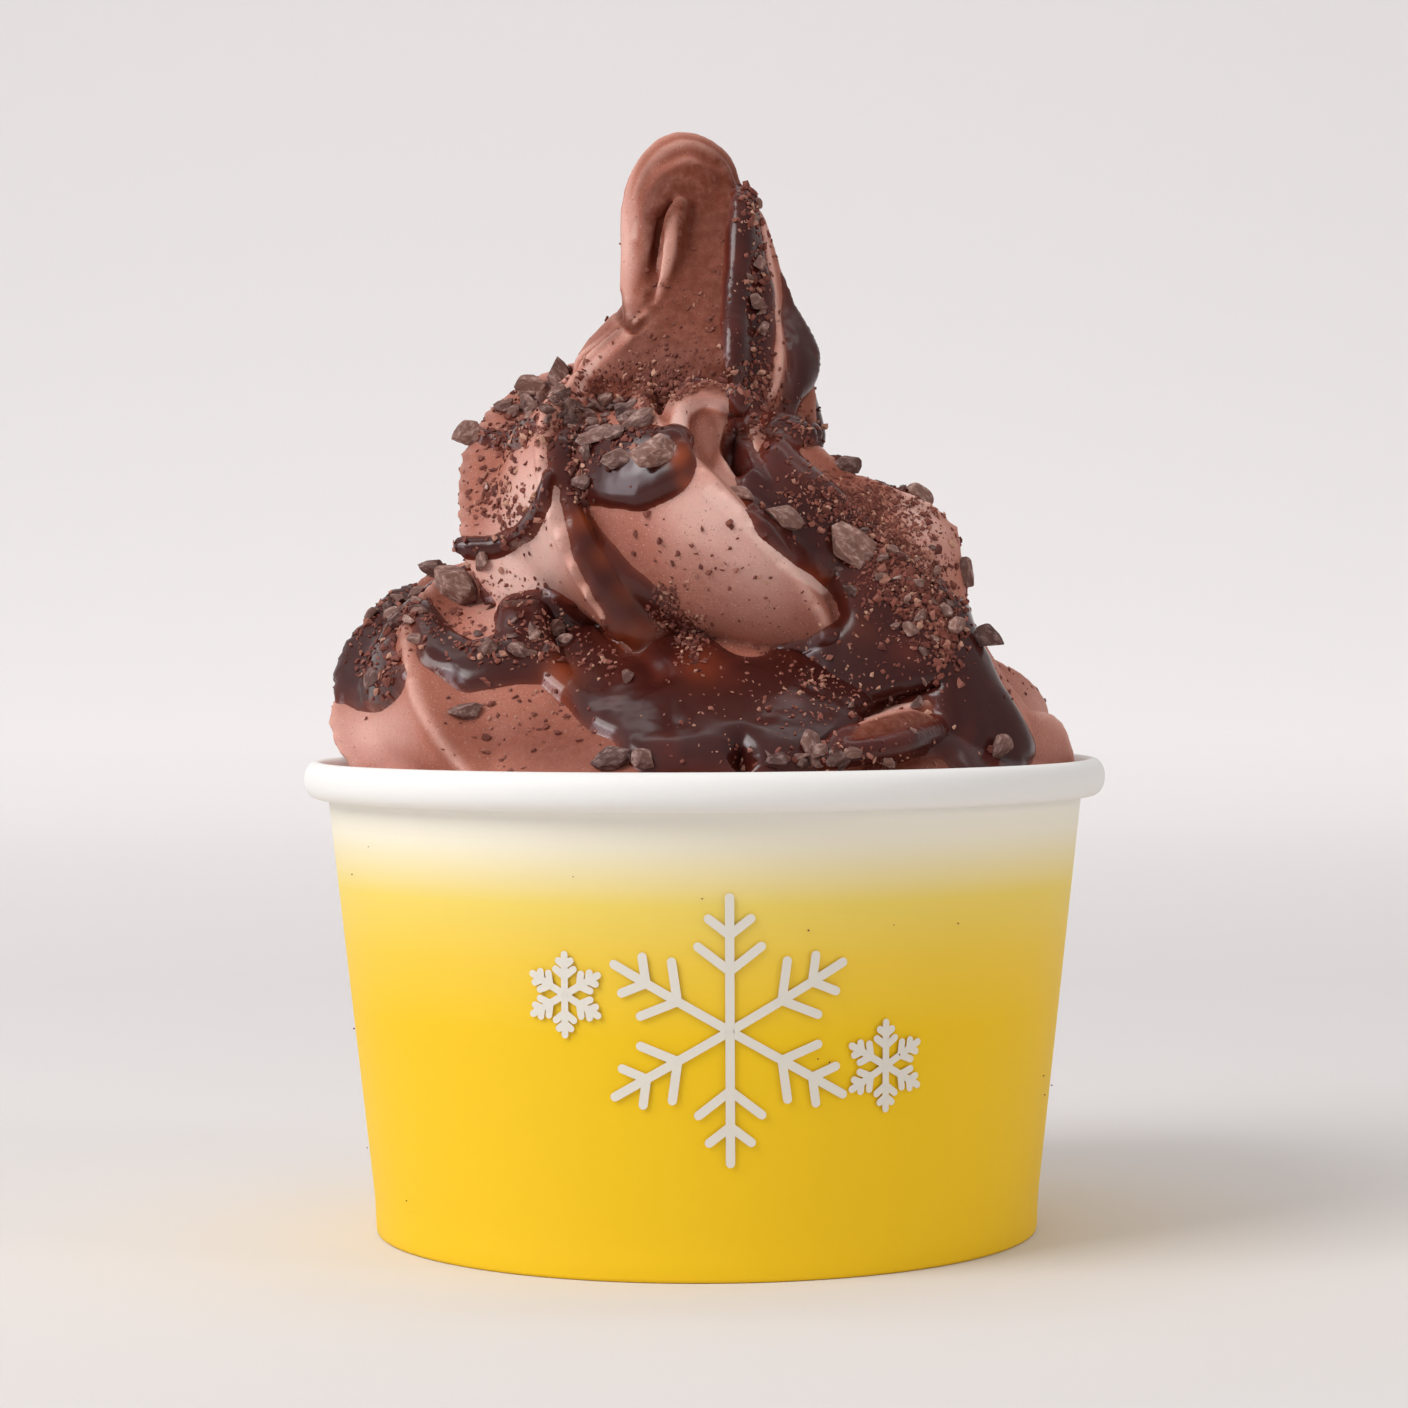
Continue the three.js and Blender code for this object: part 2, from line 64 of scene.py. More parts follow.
FOOT_RADIUS = 39.3
FLARE = 0.11
PAPER = 0.6
RIM_HEIGHT = 4.3
FOLD_HEIGHT = 5.4
SKIRT_PAPER = 0.5
DISC_UNDERSIDE = 6.2
CLEARANCE = 0.3
CUP_SIDES = 180
SEAM_ANGLE = 96.0  # of the glued overlap, at the back
SEAM_STEP = 0.28
SEAM_WIDTH, SEAM_FADE = 9.0, 60.0  # degrees

# ---- The swirl ----

# Turn, reach of the rope's middle from the axis, height of its middle, radius.
ROPE = [
    (-0.5, 25, 30, 14), (-0.25, 27, 46, 15), (0, 27.6, 52.6, 16.4), (0.1, 28, 47, 16.2), (0.2, 28, 42, 16),
    (0.28, 27.6, 43, 16), (0.34, 27.4, 49.6, 16.2), (0.4, 26.8, 57.6, 17), (0.5, 26, 61.4, 17.6),
    (0.75, 22.5, 69, 16.2), (1, 14.6, 75.6, 16.8), (1.25, 15, 81, 16.8), (1.5, 12.8, 86, 17),
    (1.75, 9, 89.5, 15.5), (2, 4, 90, 13),
]
ROPE_START, ROPE_END = -0.5, 1.95
LEAST_REACH = 0.4

# Depth and groove are shares of the radius and of the spacing. The roll is given as turn, and where the first
# ridge lies on the rope's round, in degrees above the outward direction.
LOWER_FLUTES = {
    "count": 5, "depth": 0.18, "groove": 0.26,
    "roll": [
        (-0.5, -600), (0.3, 0), (0.344, 12), (0.365, 17), (0.386, 24), (0.408, 38), (0.444, 60), (1, 490),
    ],
}
UPPER_FLUTES = {
    "count": 3, "depth": 0.26, "groove": 0.18,
    "roll": [
        (0.7, -487), (1.062, -227), (1.229, -107), (1.306, -48), (1.348, 13), (1.375, 49), (1.472, 133),
        (1.605, 253), (2, 600),
    ],
}
FLUTES_CHANGE = (0.7, 0.84)
NEAR_CURVE, FAR_CURVE = 1.6, 1.7  # how round a groove's two sides are
CREST, CREST_WIDTH = 0.16, 0.05  # of the thin lip on a ridge, as shares of groove's depth and of spacing

# Height, x, radius.
COLUMN = [
    (80, -0.6, 13), (93, -0.6, 15), (98, -0.7, 15.2), (102, -1, 15.3), (105, -0.8, 14), (108.5, -0.2, 11.8),
    (112, 0.5, 9.9), (116, 1.2, 8), (119, 1.5, 6.8), (122, 1.6, 5.4), (124.6, 1.2, 3),
]
# Height, degrees round from the front, positive to the right.
COLUMN_RIDGES = [
    [(80, -150), (96, -100), (100.6, -68), (103, -61), (105, -52), (108.5, -42), (116, -42), (124, -58)],
    [(80, -4), (97, 12), (120, 28)],
    [(80, 10), (96.7, 28), (99, 37), (102, 42), (106.6, 49), (111, 54), (118, 62), (124, 66)],
    [(80, 50), (99, 76), (124, 112)],
    [(80, 92), (99, 122), (124, 160)],
    [(80, 136), (99, 168), (124, 206)],
    [(80, 168), (99, 212), (124, 262)],
]
COLUMN_DEPTH = 0.15

# x, y, z, radius: the hanging tip, its inner fold and the web behind it, the curled lip and what it closes
# round, the tooth under the tip, the drape at the right and the bare fold.
TIP = [
    (1.3, 0.4, 116, 5.4), (1.1, 0.2, 121, 5), (0, -0.2, 124.6, 4.5), (-2.6, -0.8, 126.4, 4),
    (-5.6, -1.4, 124.6, 3.2), (-7.3, -2, 121, 2.4), (-7.7, -3.2, 116.4, 2), (-8, -5.4, 112, 1.8),
    (-8.2, -7.6, 109, 1.1),
]
INNER_FOLD = [
    (1, -2.4, 118, 3), (0, -3, 122, 2.4), (-2.6, -3.4, 123.7, 1.9), (-5, -3.6, 121.6, 1.4),
    (-6.4, -4, 118, 1.1), (-6.8, -5, 114, 1), (-7.2, -6.6, 110.4, 0.8),
]
WEB = [(-4.4, -1.6, 121, 1.6), (-4.8, -2, 117, 1.9), (-5.2, -3.6, 113, 1.9), (-5.8, -5, 109.6, 1.8)]
LIP = [
    (-0.6, -27.8, 86.6, 0.8), (-1.8, -27, 89.6, 1.2), (-2.9, -25, 92.8, 1.4), (-2.9, -22.6, 95.6, 1.5),
    (-1.2, -20.8, 97.2, 1.5), (1.4, -20.2, 97.6, 1.6), (3.2, -20.2, 97, 1.4), (4.2, -20.6, 95.8, 0.7),
]
LIP_FILLING = [(-0.4, -22.6, 89.2, 2), (-0.2, -21.2, 92.2, 2.4), (0.5, -19.4, 95, 2.5)]
TOOTH = [
    (-2.2, -5.4, 121.8, 0.8), (-3.1, -6.3, 119.4, 1.2), (-3.8, -7.1, 116, 1.4), (-4.6, -7.7, 112.6, 1.1),
    (-5.8, -8.2, 109.6, 0.6),
]
DRAPE = [
    (13.6, -8, 81, 11.5), (17.6, -11, 75.5, 12.2), (19, -13, 68, 12.8), (22, -14, 60, 13.6),
    (24.4, -14, 53, 14),
]
BARE_FOLD = [
    (12.6, -38.8, 54.6, 1.2), (15.6, -37.6, 57.4, 2.2), (19.2, -34.8, 58.8, 2.7), (22.2, -31.2, 59.8, 2.4),
    (24.8, -27, 59.8, 1.6), (27, -23, 59.4, 1),
]
TIP_FLUTES = (9, 0.22)  # how many along the hanging tip, and how deep as a share of its radius
FLUTE_CURVE = 0.7
END_REACH, END_TAPER = 0.8, 0.45  # of the last ring of a tube
# Radius, height of the pool and the heart of the coils.
HEART = [(43.4, 44), (43.4, 53.6), (39, 58), (33, 62.6), (27, 66.8), (22, 70), (14, 73), (12, 80)]

# Hollows pressed into the front: depth, then marks of x, z, half width.
DENTS = [
    [2.6, (4.2, 56.4, 1.8), (4.6, 56, 1.8)],
    [2.2, (18.6, 61.2, 0.6), (23, 63.2, 1), (27.6, 64.4, 1)],
    [3.2, (3.9, 95, 1), (3.9, 92.8, 1.5), (4.8, 90.4, 1)],
    [0.9, (-4.9, 120, 0.4), (-5.4, 116, 0.5), (-6.2, 111, 0.5)],
    [0.9, (-9.9, 111.4, 0.4), (-9.7, 108.4, 0.4), (-8.2, 106.8, 0.5), (-6.8, 108, 0.4)],
    [1.2, (-10, 107.6, 0.5), (-12.2, 105.8, 0.8), (-14.8, 103.8, 0.9), (-16.6, 101.2, 0.9)],
]
# Places where the outline is nudged, as seen from in front: x, z, spread in x and z, shift in x and z.
NUDGES = [
    (-14, 107, 3, 3.4, -1.1, 0.3), (18, 93.5, 5, 3, -0.6, -3.2), (25.5, 91, 2.4, 2, 0, -1.8),
    (30, 83.6, 2.6, 3, 1.7, 0.6), (41, 61.5, 3, 3.4, 1.8, 1.8), (-30, 86, 3, 6, 0.9, 0),
    (-44, 59.5, 3, 2.4, -1, 0), (6.6, 124.4, 2, 2, -0.8, 0), (15.4, 101.4, 2, 2.6, -1.1, 0),
    (13, 109.6, 2.2, 2.8, -1, 0), (-31, 79, 2, 2, -1.6, 0),
]

SURFACE_STEP = 0.4  # size of the swirl's faces
# Shares of the way to the neighbours' mean. The pairs take out the faces' steps and leave the ridges.
SMOOTHING = (0.6, -0.62) * 7 + (0.5, 0.5)
CUT_HEIGHT = 49.0  # below this, inside the cup, the contents are plain
WALL_GAP = 0.05
FULLY_FACING = 0.3  # marks count fully where a surface faces the onlooker this squarely
# Noise on a surface: height, size of its features, seed.
SWIRL_WAVES = [(0.16, 6.0, 4), (0.05, 1.6, 5)]
SAUCE_EDGE_WAVES = [(0.32, 5.5, 1), (0.04, 1.8, 2)]
SAUCE_TOP_WAVES = [(0.2, 6.0, 3)]
RIDGE_HEIGHT, RIDGE_SPREAD = 0.24, 10  # how far a ridge stands over the smoothed surface, and its smoothings

# ---- Curves and grids ----


def along(stations, t, column=1):
    """The values in a column of the stations at t, on a smooth curve through them."""
    table = np.array(stations, float)
    keys, values = table[:, 0], table[:, column]
    index = np.arange(len(keys))
    before, after = np.maximum(index - 1, 0), np.minimum(index + 1, len(keys) - 1)
    slopes = (values[after] - values[before]) / (keys[after] - keys[before])
    t = np.asarray(t, float)
    i = np.clip(np.searchsorted(keys, t) - 1, 0, len(keys) - 2)
    width = keys[i + 1] - keys[i]
    s = np.clip((t - keys[i]) / width, 0, 1)
    rise = s * s * (3 - 2 * s)
    ease = s * (1 - s) * width
    return values[i] * (1 - rise) + values[i + 1] * rise + ease * ((1 - s) * slopes[i] - s * slopes[i + 1])


def smooth_step(x, low, high):
    s = np.clip((x - low) / (high - low), 0, 1)
    return s * s * (3 - 2 * s)


def unit(vectors):
    return vectors / np.maximum(np.linalg.norm(vectors, axis=-1, keepdims=True), 1e-12)


def polar(radius, angle):
    return radius * np.cos(angle), radius * np.sin(angle)


def crest(share):
    """Height of the thin lip at this share of the way from ridge to ridge."""
    return CREST * np.exp(-((np.minimum(share, 1 - share) / CREST_WIDTH) ** 2))


def flute_depth(turns, angles, flutes):
    """Depth of the groove at these places on the rope, from 0 on a ridge to 1."""
    roll = along(flutes["roll"], turns)
    share = np.mod((angles - roll) * flutes["count"] / 360, 1)
    groove = flutes["groove"]
    near = np.clip(1 - share / groove, 0, 1) ** NEAR_CURVE
    far = np.clip((share - groove) / (1 - groove), 0, 1) ** FAR_CURVE
    return 1 - np.where(share < groove, near, far) - crest(share)


def band(low, high, sides):
    """Faces between two rings of points, whose first points are given."""
    return [(low + i, low + (i + 1) % sides, high + (i + 1) % sides, high + i) for i in range(sides)]


def grid_solid(rings):
    """Points and faces of a closed surface through rings, given as an array of rings by points by 3."""
    count, sides = rings.shape[:2]
    points = np.vstack([rings.reshape(-1, 3), rings[0].mean(0)[None], rings[-1].mean(0)[None]])
    faces = []
    for r in range(count - 1):
        faces += band(r * sides, (r + 1) * sides, sides)
    first, last, end = len(points) - 2, len(points) - 1, (count - 1) * sides
    for i in range(sides):
        j = (i + 1) % sides
        faces += [(first, j, i), (last, end + i, end + j)]
    return points, faces


def rope_solid(steps_per_turn=150, sides=120):
    turns = np.linspace(ROPE_START, ROPE_END, round((ROPE_END - ROPE_START) * steps_per_turn))[:, None]
    angles = np.arange(sides)[None, :] * 360 / sides
    change = smooth_step(turns, *FLUTES_CHANGE)
    lower = (1 - change) * LOWER_FLUTES["depth"] * flute_depth(turns, angles, LOWER_FLUTES)
    upper = change * UPPER_FLUTES["depth"] * flute_depth(turns, angles, UPPER_FLUTES)
    radius = along(ROPE, turns, 3) * (1 - lower - upper)
    out, up = polar(radius, np.radians(angles))
    reach = np.maximum(along(ROPE, turns, 1) + out, LEAST_REACH)
    return grid_solid(np.dstack([*polar(reach, np.radians(-360 * turns)), along(ROPE, turns, 2) + up]))


def column_solid(steps=120, sides=150):
    heights = np.linspace(COLUMN[0][0], COLUMN[-1][0], steps)[:, None]
    angles = np.arange(sides)[None, :] * 360 / sides
    ridges = np.array([along(stations, heights) for stations in COLUMN_RIDGES])
    behind = np.mod(angles + 90 - ridges, 360).min(0)
    ahead = np.mod(ridges - angles - 90, 360).min(0)
    share = behind / np.maximum(behind + ahead, 1e-6)
    groove = 1 - np.abs(2 * share - 1) ** FAR_CURVE - 0.5 * crest(share)
    x, y = polar(along(COLUMN, heights, 2) * (1 - COLUMN_DEPTH * groove), np.radians(angles))
    return grid_solid(np.dstack([along(COLUMN, heights, 1) + x, y, np.broadcast_to(heights, x.shape)]))


def path_points(stations, count):
    """Points and radii along a smooth path through stations of x, y, z, radius."""
    table = np.array(stations, float)
    gaps = np.linalg.norm(np.diff(table[:, :3], axis=0), axis=1)
    places = np.concatenate([[0], np.cumsum(gaps)])
    keyed = np.column_stack([places, table])
    t = np.linspace(0, places[-1], count)
    return np.column_stack([along(keyed, t, 1 + k) for k in range(4)])


def tube_solid(stations, count=60, sides=32, flutes=(0, 0)):
    path = path_points(stations, count)
    angles = np.arange(sides)[:, None] * 2 * math.pi / sides
    fluted = 1 - flutes[1] * (1 - np.abs(np.cos(flutes[0] * angles / 2)) ** FLUTE_CURVE)
    middles, radii = path[:, :3], path[:, 3]
    tangents = unit(np.gradient(middles, axis=0))
    across = np.cross(tangents[0], (0.31, 0.86, 0.4))  # any direction that no tube starts in
    rings = []
    for middle, tangent, radius in zip(middles, tangents, radii):
        across = unit(across - tangent * (across @ tangent))
        side = np.cross(tangent, across)
        rings.append(middle + radius * fluted * (np.cos(angles) * across + np.sin(angles) * side))
    end = middles[-1] + tangents[-1] * radii[-1] * END_REACH + (rings[-1] - middles[-1]) * END_TAPER
    return grid_solid(np.array(rings + [end]))


def lathe_solid(profile, sides=96):
    """A solid of revolution from a profile of radius, height that goes from the axis to the axis."""
    radii, heights = np.array(profile, float).T[:, :, None]
    x, y = polar(radii, np.arange(sides)[None, :] * 2 * math.pi / sides)
    return grid_solid(np.dstack([x, y, np.broadcast_to(heights, x.shape)]))


def outer_wall(z):
    return FOOT_RADIUS + FLARE * z


def inner_wall(z):
    return outer_wall(z) - PAPER


# ---- Meshes ----


def joined(solids):
    points, faces, start = [], [], 0
    for part_points, part_faces in solids:
        points.append(part_points)
        faces.extend(tuple(i + start for i in face) for face in part_faces)
        start += len(part_points)
    return np.vstack(points), faces


def add_object(name, data):
    made = bpy.data.objects.new(name, data)
    bpy.context.scene.collection.objects.link(made)
    return made


def mesh_object(name, points, faces, smooth=True):
    mesh = bpy.data.meshes.new(name)
    mesh.from_pydata((points * MM).tolist(), [], faces if isinstance(faces, list) else faces.tolist())
    if smooth:
        mesh.shade_smooth()
    mesh.update()
    return add_object(name, mesh)


def set_attribute(made, name, values):
    """Numbers, or vectors of three, for the mesh's points."""
    values = np.asarray(values, np.float32)
    kind, key = ("FLOAT", "value") if values.ndim == 1 else ("FLOAT_VECTOR", "vector")
    made.data.attributes.new(name, kind, "POINT").data.foreach_set(key, values.ravel())


def remeshed(points, faces, step):
    """Overlapping closed surfaces fused into one, as points and quads with edges of about the step."""
    rough = mesh_object("rough", points, faces)
    fuse = rough.modifiers.new("fuse", "REMESH")
    fuse.mode = "VOXEL"
    fuse.voxel_size = step * MM
    fused = rough.evaluated_get(bpy.context.evaluated_depsgraph_get()).to_mesh()
    made_points = np.zeros(len(fused.vertices) * 3, np.float32)
    fused.vertices.foreach_get("co", made_points)
    corners = np.zeros(len(fused.loops), np.int32)
    fused.loops.foreach_get("vertex_index", corners)
    bpy.data.objects.remove(rough)
    return made_points.reshape(-1, 3).astype(float) / MM, corners.reshape(-1, 4)


def half_edges(quads):
    return np.vstack([quads[:, [k, (k + 1) % 4]] for k in range(4)])


def edges_of(quads):
    return np.unique(np.sort(half_edges(quads), axis=1), axis=0)


def open_edges(quads):
    """Edges with one face only, in the direction of that face."""
    pairs = half_edges(quads)
    _, index, count = np.unique(np.sort(pairs, axis=1), axis=0, return_index=True, return_counts=True)
    return pairs[index[count == 1]]


def neighbour_mean(values, edges):
    total = np.zeros_like(values)
    count = np.zeros(len(values))
    for a, b in ((0, 1), (1, 0)):
        np.add.at(total, edges[:, a], values[edges[:, b]])
        np.add.at(count, edges[:, a], 1)
    return total / np.maximum(count, 1).reshape((-1,) + (1,) * (values.ndim - 1))


def relaxed(points, edges, shares=(0.5,)):
    """The points moved by each share in turn of the way to their neighbours' mean."""
    for share in shares:
        points = points + share * (neighbour_mean(points, edges) - points)
    return points


def normals_of(points, quads):
    corners = points[quads]
    face = np.cross(corners[:, 2] - corners[:, 0], corners[:, 3] - corners[:, 1])
    total = np.zeros_like(points)
    for k in range(4):
        np.add.at(total, quads[:, k], face)
    return unit(total)


def waves_at(points, waves):
    """Smooth noise at the points, the sum of waves of a height, a size of their features and a seed."""
    total = 0
    for height, size, seed in waves:
        shift = Vector((seed * 13.7, seed * 5.3, seed * 9.1))
        total = total + height * np.array([noise.noise(Vector(p) / size + shift) for p in points])
    return total


# ---- Marks as an onlooker sees them ----

ONLOOKER_DISTANCE, ONLOOKER_HEIGHT = 420.0, 69.6


def seen_from(bearing, points):
    """Marks of the points on the upright plane through the axis, for the onlooker at that bearing."""
    a = math.radians(bearing)
    x = points[:, 0] * math.cos(a) - points[:, 1] * math.sin(a)
    y = points[:, 0] * math.sin(a) + points[:, 1] * math.cos(a)
    scale = ONLOOKER_DISTANCE / (ONLOOKER_DISTANCE + y)
    return x * scale, ONLOOKER_HEIGHT + (points[:, 2] - ONLOOKER_HEIGHT) * scale


def squareness(normals, bearing):
    """How squarely each point of a surface faces the onlooker at that bearing, from 1 down to -1."""
    a = math.radians(bearing)
    return -normals[:, 0] * math.sin(a) - normals[:, 1] * math.cos(a)


def facing(normals, bearing):
    """1 on a surface that faces the onlooker at that bearing, falling to 0 where it turns away."""
    return np.clip(squareness(normals, bearing), 0, FULLY_FACING) / FULLY_FACING


def inside_run(run, x, z):
    """How many millimetres each mark lies inside the run's edge, or outside it where negative."""
    most = np.full(len(x), -1e3)
    for (ax, az, aw), (bx, bz, bw) in zip(run, run[1:]):
        length = (bx - ax) ** 2 + (bz - az) ** 2
        t = np.clip(((x - ax) * (bx - ax) + (z - az) * (bz - az)) / length, 0, 1)
        gap = np.hypot(x - ax - t * (bx - ax), z - az - t * (bz - az))
        most = np.maximum(most, aw + t * (bw - aw) - gap)
    return most


def falloff(x, z, middle_x, middle_z, spread_x, spread_z):
    return np.exp(-(((x - middle_x) / spread_x) ** 2 + ((z - middle_z) / spread_z) ** 2) / 2)


# ---- The bare swirl ----


def largest_piece(points, quads):
    """Only the faces that hang together with the most others."""
    label = np.arange(len(points))
    edges = edges_of(quads)
    while True:
        low = np.minimum(label[edges[:, 0]], label[edges[:, 1]])
        new = label.copy()
        np.minimum.at(new, edges[:, 0], low)
        np.minimum.at(new, edges[:, 1], low)
        new = new[new]
        if (new == label).all():
            break
        label = new
    best = np.bincount(label[quads[:, 0]]).argmax()
    return quads[label[quads[:, 0]] == best]


def compact(faces, *values):
    """The faces with their points numbered anew, and those points' share of each array of values."""
    used, place = np.unique(faces, return_inverse=True)
    return place.reshape(faces.shape), *(array[used] for array in values)


def dented(points, normals):
    """The points with the hollows pressed in along the surface's normals."""
    x, z = seen_from(0, points)
    front = facing(normals, 0)
    for depth, *run in DENTS:
        widest = max(half for _, _, half in run)
        share = smooth_step(inside_run(run, x, z), -0.3 * widest, 0.8 * widest)
        points = points - normals * (depth * share * front)[:, None]
    return points


def nudged(points):
    x, z = seen_from(0, points)
    shift = np.zeros_like(points)
    for *place, along_x, along_z in NUDGES:
        shift += falloff(x, z, *place)[:, None] * np.array([along_x, 0, along_z])
    return points + shift


def bare_swirl():
    """Points, quads and edges of the soft serve above the cut, fused and lightly smoothed."""
    heart = [(0.01, HEART[0][1]), *HEART, (0.01, HEART[-1][1])]
    tubes = [INNER_FOLD, WEB, TOOTH, LIP, LIP_FILLING, DRAPE, BARE_FOLD]
    solids = [rope_solid(), column_solid(), lathe_solid(heart), *(tube_solid(tube) for tube in tubes)]
    solids.append(tube_solid(TIP, 140, 96, TIP_FLUTES))
    points, quads = remeshed(*joined(solids), SURFACE_STEP)
    quads = quads[(points[quads][:, :, 2] > CUT_HEIGHT).all(1)]
    quads, points = compact(largest_piece(points, quads), points)
    edges = edges_of(quads)
    points = relaxed(points, edges, SMOOTHING)
    points = nudged(dented(points, normals_of(points, quads)))
    points = relaxed(points, edges, (0.5, 0.5))
    limit = inner_wall(points[:, 2]) - WALL_GAP
    radius = np.hypot(points[:, 0], points[:, 1])
    held = np.where(points[:, 2] < CUP_HEIGHT, np.minimum(1, limit / radius), 1)
    points[:, :2] *= held[:, None]
    return points, quads, edges


# ---- Sauce ----

# For each bearing, runs of marks of x, z, half width.
SAUCE = {
    0: [
        [(-36.4, 75.4, 1.8), (-38.6, 71.6, 2.4), (-40, 68.6, 3.4), (-39.9, 66, 4.3)],
        [(-33.4, 73, 1.6), (-31.6, 69, 2.6), (-28, 66.6, 2.9), (-23, 67.6, 3), (-18, 68.6, 3.6),
         (-11, 63.5, 5)],
        [(-22.5, 73, 2.4), (-18.5, 73, 3), (-14, 69, 3.6)],
        [(-18.7, 89.4, 0.5), (-19.2, 86.2, 1), (-21.2, 82.9, 1.1), (-24.8, 81.1, 1.2), (-29.6, 81, 1.2)],
        [(-26, 94.2, 0.9), (-23, 93.4, 1.1), (-20.6, 95.4, 0.9)],
        [(-15, 92.4, 3.4), (-10.5, 90.8, 4.6), (-5.6, 91, 4.5), (-3.6, 93.4, 2.2)],
        [(-15.4, 89.8, 1.8), (-12.4, 88.7, 2.2), (-8, 88.8, 3)],
        [(-16, 86.6, 0.8), (-13.6, 81, 2.2), (-10.6, 76.7, 2.8), (-6.6, 72.4, 3.5), (-2.7, 68, 3.4),
         (3, 62.5, 5)],
        [(9, 92, 1.8), (11.5, 88, 2.8), (15.4, 83.6, 3.4), (19.6, 78, 4.4), (23.5, 72, 6.4), (24, 67.6, 5)],
        [(5.4, 87.2, 1.2), (9, 84.4, 3), (13.4, 81.4, 3.4), (18.4, 78.6, 3.8), (21.5, 75, 4.4)],
        [(-5, 59, 5.4), (4, 60.5, 6.6), (11, 61.5, 6.6), (17.6, 66.6, 5.4), (25.6, 68.6, 4.6)],
        [(25.6, 68.6, 4.6), (30.4, 65.4, 3.4), (32, 60.6, 4.4), (33.8, 56.4, 4.8)],
        [(9, 56.8, 3.6), (15, 55.8, 1.2), (21, 56.8, 1.6), (29, 58, 2)],
        [(3.9, 95.2, 1.1), (4, 92.6, 1.7), (5.2, 90, 1.4), (6.8, 88, 1.4)],
        [(10.4, 64, 3), (10.4, 66.8, 2.4)],
        [(29.6, 73, 1.8), (31, 68, 2), (32.4, 63, 2.6), (35.4, 56.5, 3.4)],
        [(5, 122.6, 1.4), (5, 119, 2), (5.2, 115, 2.5), (5.3, 111, 2.9), (5.4, 107, 3), (5.5, 102.5, 2.7),
         (5.3, 98, 2)],
        [(9.9, 113.4, 0.5), (10.8, 110.4, 1.2), (11.3, 107.4, 1.6), (12.1, 104, 2.3), (11.4, 100.8, 1.7),
         (10.4, 98, 1)],
        [(8.6, 95.6, 1.3), (11, 94.6, 1.7), (14.8, 94.2, 1)],
    ],
    90: [
        [(5, 80.8, 1.2), (-1, 81.4, 1.3), (-8, 83.4, 1.6), (-14, 84.6, 1.2)],
        [(-6, 88, 2), (-2, 80, 3), (4, 74, 4), (9, 70, 4.2), (11, 66.4, 4.4)],
        [(-24, 70, 3), (-22, 64, 4), (-20, 58, 5)],
    ],
    180: [
        [(2, 112, 1.2), (3, 105, 1.8), (1, 98, 2.2)],
        [(-16, 90, 1.6), (-10, 83, 2.8), (-4, 77, 4), (2, 72, 4.6)],
        [(14, 84, 1.6), (19, 78, 2.6), (25, 72, 3.6), (29, 65, 4)],
        [(-28, 68, 3), (-30, 62, 4)],
    ],
    270: [
        [(4, 106, 1.4), (5, 101.4, 2.6), (4, 96, 3)],
        [(-10, 92, 1.6), (-4, 84, 2.8), (2, 78, 4)],
        [(18, 72, 2.4), (22, 66, 3.4), (24, 61, 4)],
    ],
}
# Where light shines through the sauce: x, z, spread, strength.
WARM_PLACES = [
    (-2.6, 91.4, 0.9, 0.8), (-1.7, 88.4, 0.7, 0.7), (12.6, 76, 1.2, 0.7), (-17.4, 64.4, 1.6, 0.6),
    (-14.8, 84, 1.1, 0.6), (-12.6, 79.8, 1.2, 0.4), (-9.8, 75.6, 1.4, 0.35), (-6.4, 71.4, 1.5, 0.35),
    (-9, 70, 1.6, 0.35), (-0.5, 65.6, 1.5, 0.25), (18.4, 71, 1.4, 0.15),
]
SAUCE_THICKNESS = 1.3
SAUCE_LIP = 2.1  # how far in from its edge the sauce reaches its full thickness
SAUCE_DIP, DIP_WIDTH = 0.3, 0.8  # how far under the surface its edge ends, and over what width
SAUCE_UNDERSIDE = 0.55  # how far under the surface the sauce's hidden side lies
SAUCE_BLEND = 0.7  # softness of the join between two runs
SAUCE_REACH = 1.4  # how far out from the runs the waves of the edge can take the sauce
TURNED_AWAY, FADE = 0.22, 12  # below this squareness a run fades out, by this many millimetres for each 1
WAVES_WIDTH = 3.0  # how far in from the edge the sauce's top has its full waves


def sauce_inside(points, normals):
    """How far inside the sauce's edge each point of the surface lies, in millimetres."""
    best = np.full(len(points), -9.0)
    for bearing, runs in SAUCE.items():
        x, z = seen_from(bearing, points)
        total = np.zeros(len(points))
        for run in runs:
            total += np.exp(np.clip(inside_run(run, x, z), -30, 30) / SAUCE_BLEND)
        inside = SAUCE_BLEND * np.log(np.maximum(total, 1e-12))
        best = np.maximum(best, inside - FADE * np.clip(TURNED_AWAY - squareness(normals, bearing), 0, 1))
    return best


def sauce_height(inside):
    """Height of the sauce over the surface, with a rounded edge that dips just under the surface."""
    share = np.clip(inside / SAUCE_LIP, 0, 1)
    over = SAUCE_THICKNESS * np.sqrt(1 - (1 - share) ** 2)
    return over - SAUCE_DIP * np.clip(-inside / DIP_WIDTH, 0, 1)


def closed_shell(outer, inner, quads):
    """A closed surface from a sheet and its underside."""
    count = len(outer)
    rim = open_edges(quads)
    walls = np.column_stack([rim[:, 1], rim[:, 0], rim[:, 0] + count, rim[:, 1] + count])
    return np.vstack([outer, inner]), np.vstack([quads, quads[:, ::-1] + count, walls])


def warmth(points):
    x, z = seen_from(0, points)
    total = np.zeros(len(points))
    for middle_x, middle_z, spread, strength in WARM_PLACES:
        total += strength * falloff(x, z, middle_x, middle_z, spread, spread)
    return np.clip(total, 0, 1) * (points[:, 1] < 0)


